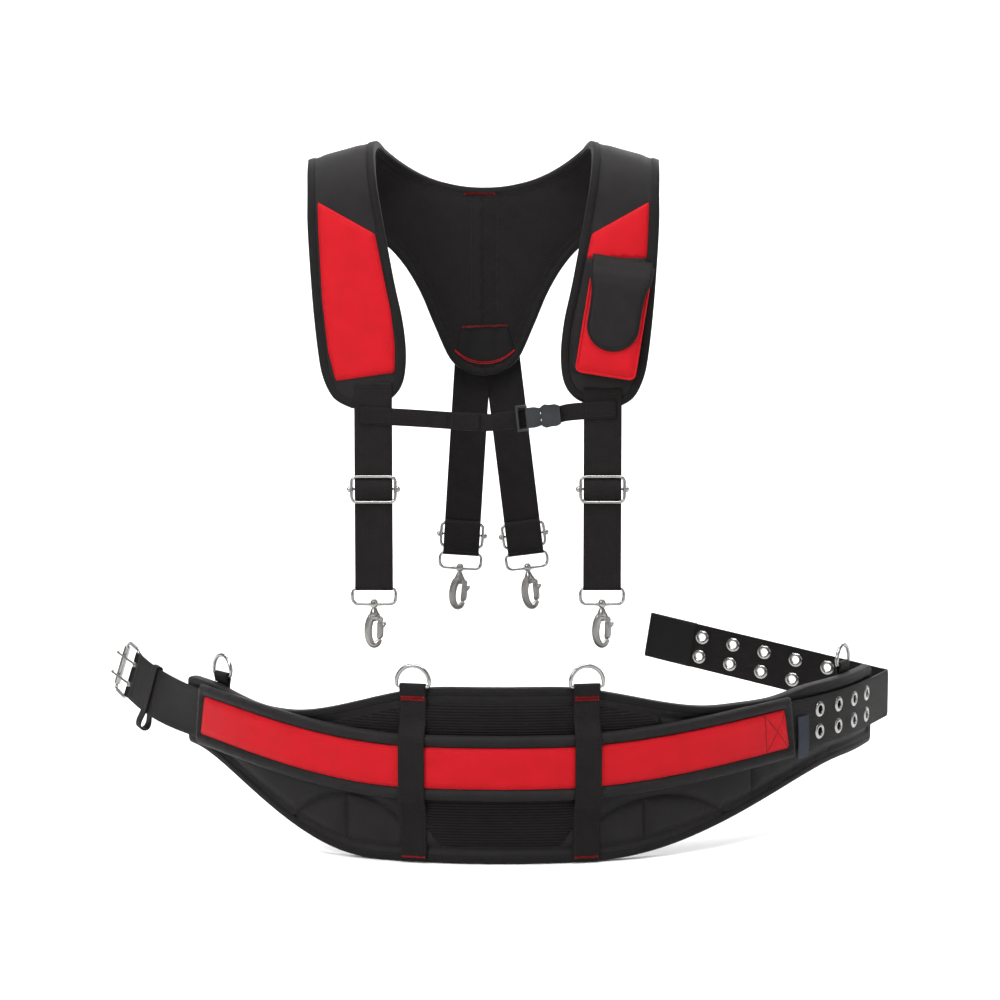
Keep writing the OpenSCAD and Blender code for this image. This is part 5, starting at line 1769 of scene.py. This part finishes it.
def make_flap():
    side = spline([(-36.5, 0), (-36.8, -14), (-35.5, -26), (-31.5, -40), (-30, -60), (-30, -82)], 5)
    foot = arc((0, -82), 29, 180, 360, 22)
    foot = np.column_stack([foot[:, 0] * 30 / 29, foot[:, 1]])
    outline = np.vstack([side, foot, side[::-1] * [-1, 1]])
    p, tris = fill(outline, 3.6)
    edge = edge_distance(p, outline, 3.6)
    out = flap_offset(p[:, 1]) + 0.9 * crown(edge, 10) - 1.2 * (p[:, 0] / 36) ** 2 * ease(-p[:, 1], 20, 50)
    out = out + 0.25 * ripples(p, 20, 51)
    points, faces, cloth = slab(p, tris, lambda q, off: np.column_stack([q[:, 0], off, q[:, 1]]), -out, 1.8 - out)
    flap = piece("pocket_flap_cover", placed(points, POCKET_PLACE), faces, NYLON, "pocket_flap", cloth)
    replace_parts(flap, "pocket_flap")
    ring = np.vstack([side[3:], foot, side[::-1][:-3] * [-1, 1]])
    ring = resample(ring, 2.4)
    drop = flap_offset(ring[:, 1]) - 1.2 * (ring[:, 0] / 36) ** 2 * ease(-ring[:, 1], 20, 50)
    line = np.column_stack([ring[:, 0], -drop + 0.8, ring[:, 1]])
    points, faces = wire(line, 1.55, (0, 1, 0), sides=12)
    cloth = np.column_stack([points[:, 0], points[:, 2]])
    piece("pocket_flap_tape", placed(points, POCKET_PLACE), faces, TAPE, "pocket_flap", cloth)
    inner = ring * [(30 - 4.5) / 30, 1] + np.column_stack([0 * ring[:, 0], 4.0 * ease(-ring[:, 1], 84, 108)])
    run = upright(inner, -30.0)
    sew("pocket_flap_stitching", [placed(run, POCKET_PLACE)], [flap], BLACK_THREAD, "pocket_flap", "binding", pitch=3,
        length=2.2, width=0.5)
    seam_line = placed(np.array([(-35, -20, -2.5), (35, -20, -2.5)]), POCKET_PLACE)
    sew("pocket_flap_seam", [seam_line], [flap], BLACK_THREAD, "pocket_flap", "binding", pitch=3, length=2.2,
        width=0.6)


make_pocket()
make_flap()


# ---------------------------------------------------------------- studio

FLOOR_Z = cad_box[0][2] - 0.001
SWEEP_Y, SWEEP_R = 2.4, 1.0


def studio_sweep():
    """Floor that curves up into a backdrop behind the object."""
    turn = np.radians(np.linspace(0, 90, 16))
    line = [(-7, FLOOR_Z)] + [(SWEEP_Y + SWEEP_R * math.sin(a), FLOOR_Z + SWEEP_R * (1 - math.cos(a))) for a in turn]
    line.append((SWEEP_Y + SWEEP_R, FLOOR_Z + 6))
    points = [(x, y, z) for y, z in line for x in (-8, 8)]
    data = bpy.data.meshes.new("studio_floor")
    data.from_pydata(points, [], [(2 * k, 2 * k + 1, 2 * k + 3, 2 * k + 2) for k in range(len(line) - 1)])
    look = Look("floor_paint", (0.92, 0.92, 0.92), 0.9, Specular_IOR_Level=0.1)
    look.shade(look.noise(look.object(), 3, 2), (0.91, 0.91, 0.91), (0.93, 0.93, 0.93))
    data.materials.append(look.material)
    data.shade_smooth()
    ob = bpy.data.objects.new("studio_floor", data)
    bpy.context.scene.collection.objects.link(ob)


studio_sweep()


def aim(ob, at, target):
    ob.location = at
    ob.rotation_euler = (Vector(target) - Vector(at)).to_track_quat("-Z", "Y").to_euler()
    bpy.context.scene.collection.objects.link(ob)


def area_light(name, at, target, size, power):
    light = bpy.data.lights.new(name, "AREA")
    light.shape = "RECTANGLE"
    light.size, light.size_y = size
    light.energy = power
    aim(bpy.data.objects.new(name, light), at, target)


area_light("key", (-1.9, -2.1, 2.0), (0, 0.1, 0.35), (1.2, 1.2), 57)
area_light("fill", (2.4, -2.0, 1.0), (0, 0.1, 0.3), (1.2, 1.6), 12)
area_light("top", (0.1, -0.75, 2.6), (0, 0.05, 0.2), (2.2, 0.8), 62)
area_light("rim", (1.4, 2.1, 1.7), (0, 0.1, 0.3), (0.8, 0.8), 14)
area_light("backdrop", (0, 1.3, 3.0), (0, SWEEP_Y + SWEEP_R, 1.0), (4.0, 0.8), 150)

world = bpy.data.worlds.new("studio")
world.use_nodes = True
world.node_tree.nodes["Background"].inputs["Color"].default_value = (1, 1, 1, 1)
world.node_tree.nodes["Background"].inputs["Strength"].default_value = 0.26
bpy.context.scene.world = world
bpy.context.scene.view_settings.view_transform = "Standard"

lens = bpy.data.cameras.new("camera")
lens.sensor_width = 36
lens.lens = 78
camera = bpy.data.objects.new("camera", lens)
aim(camera, (0, -2.530, 0.5486), (0, 0.060, 0.322))
bpy.context.scene.camera = camera
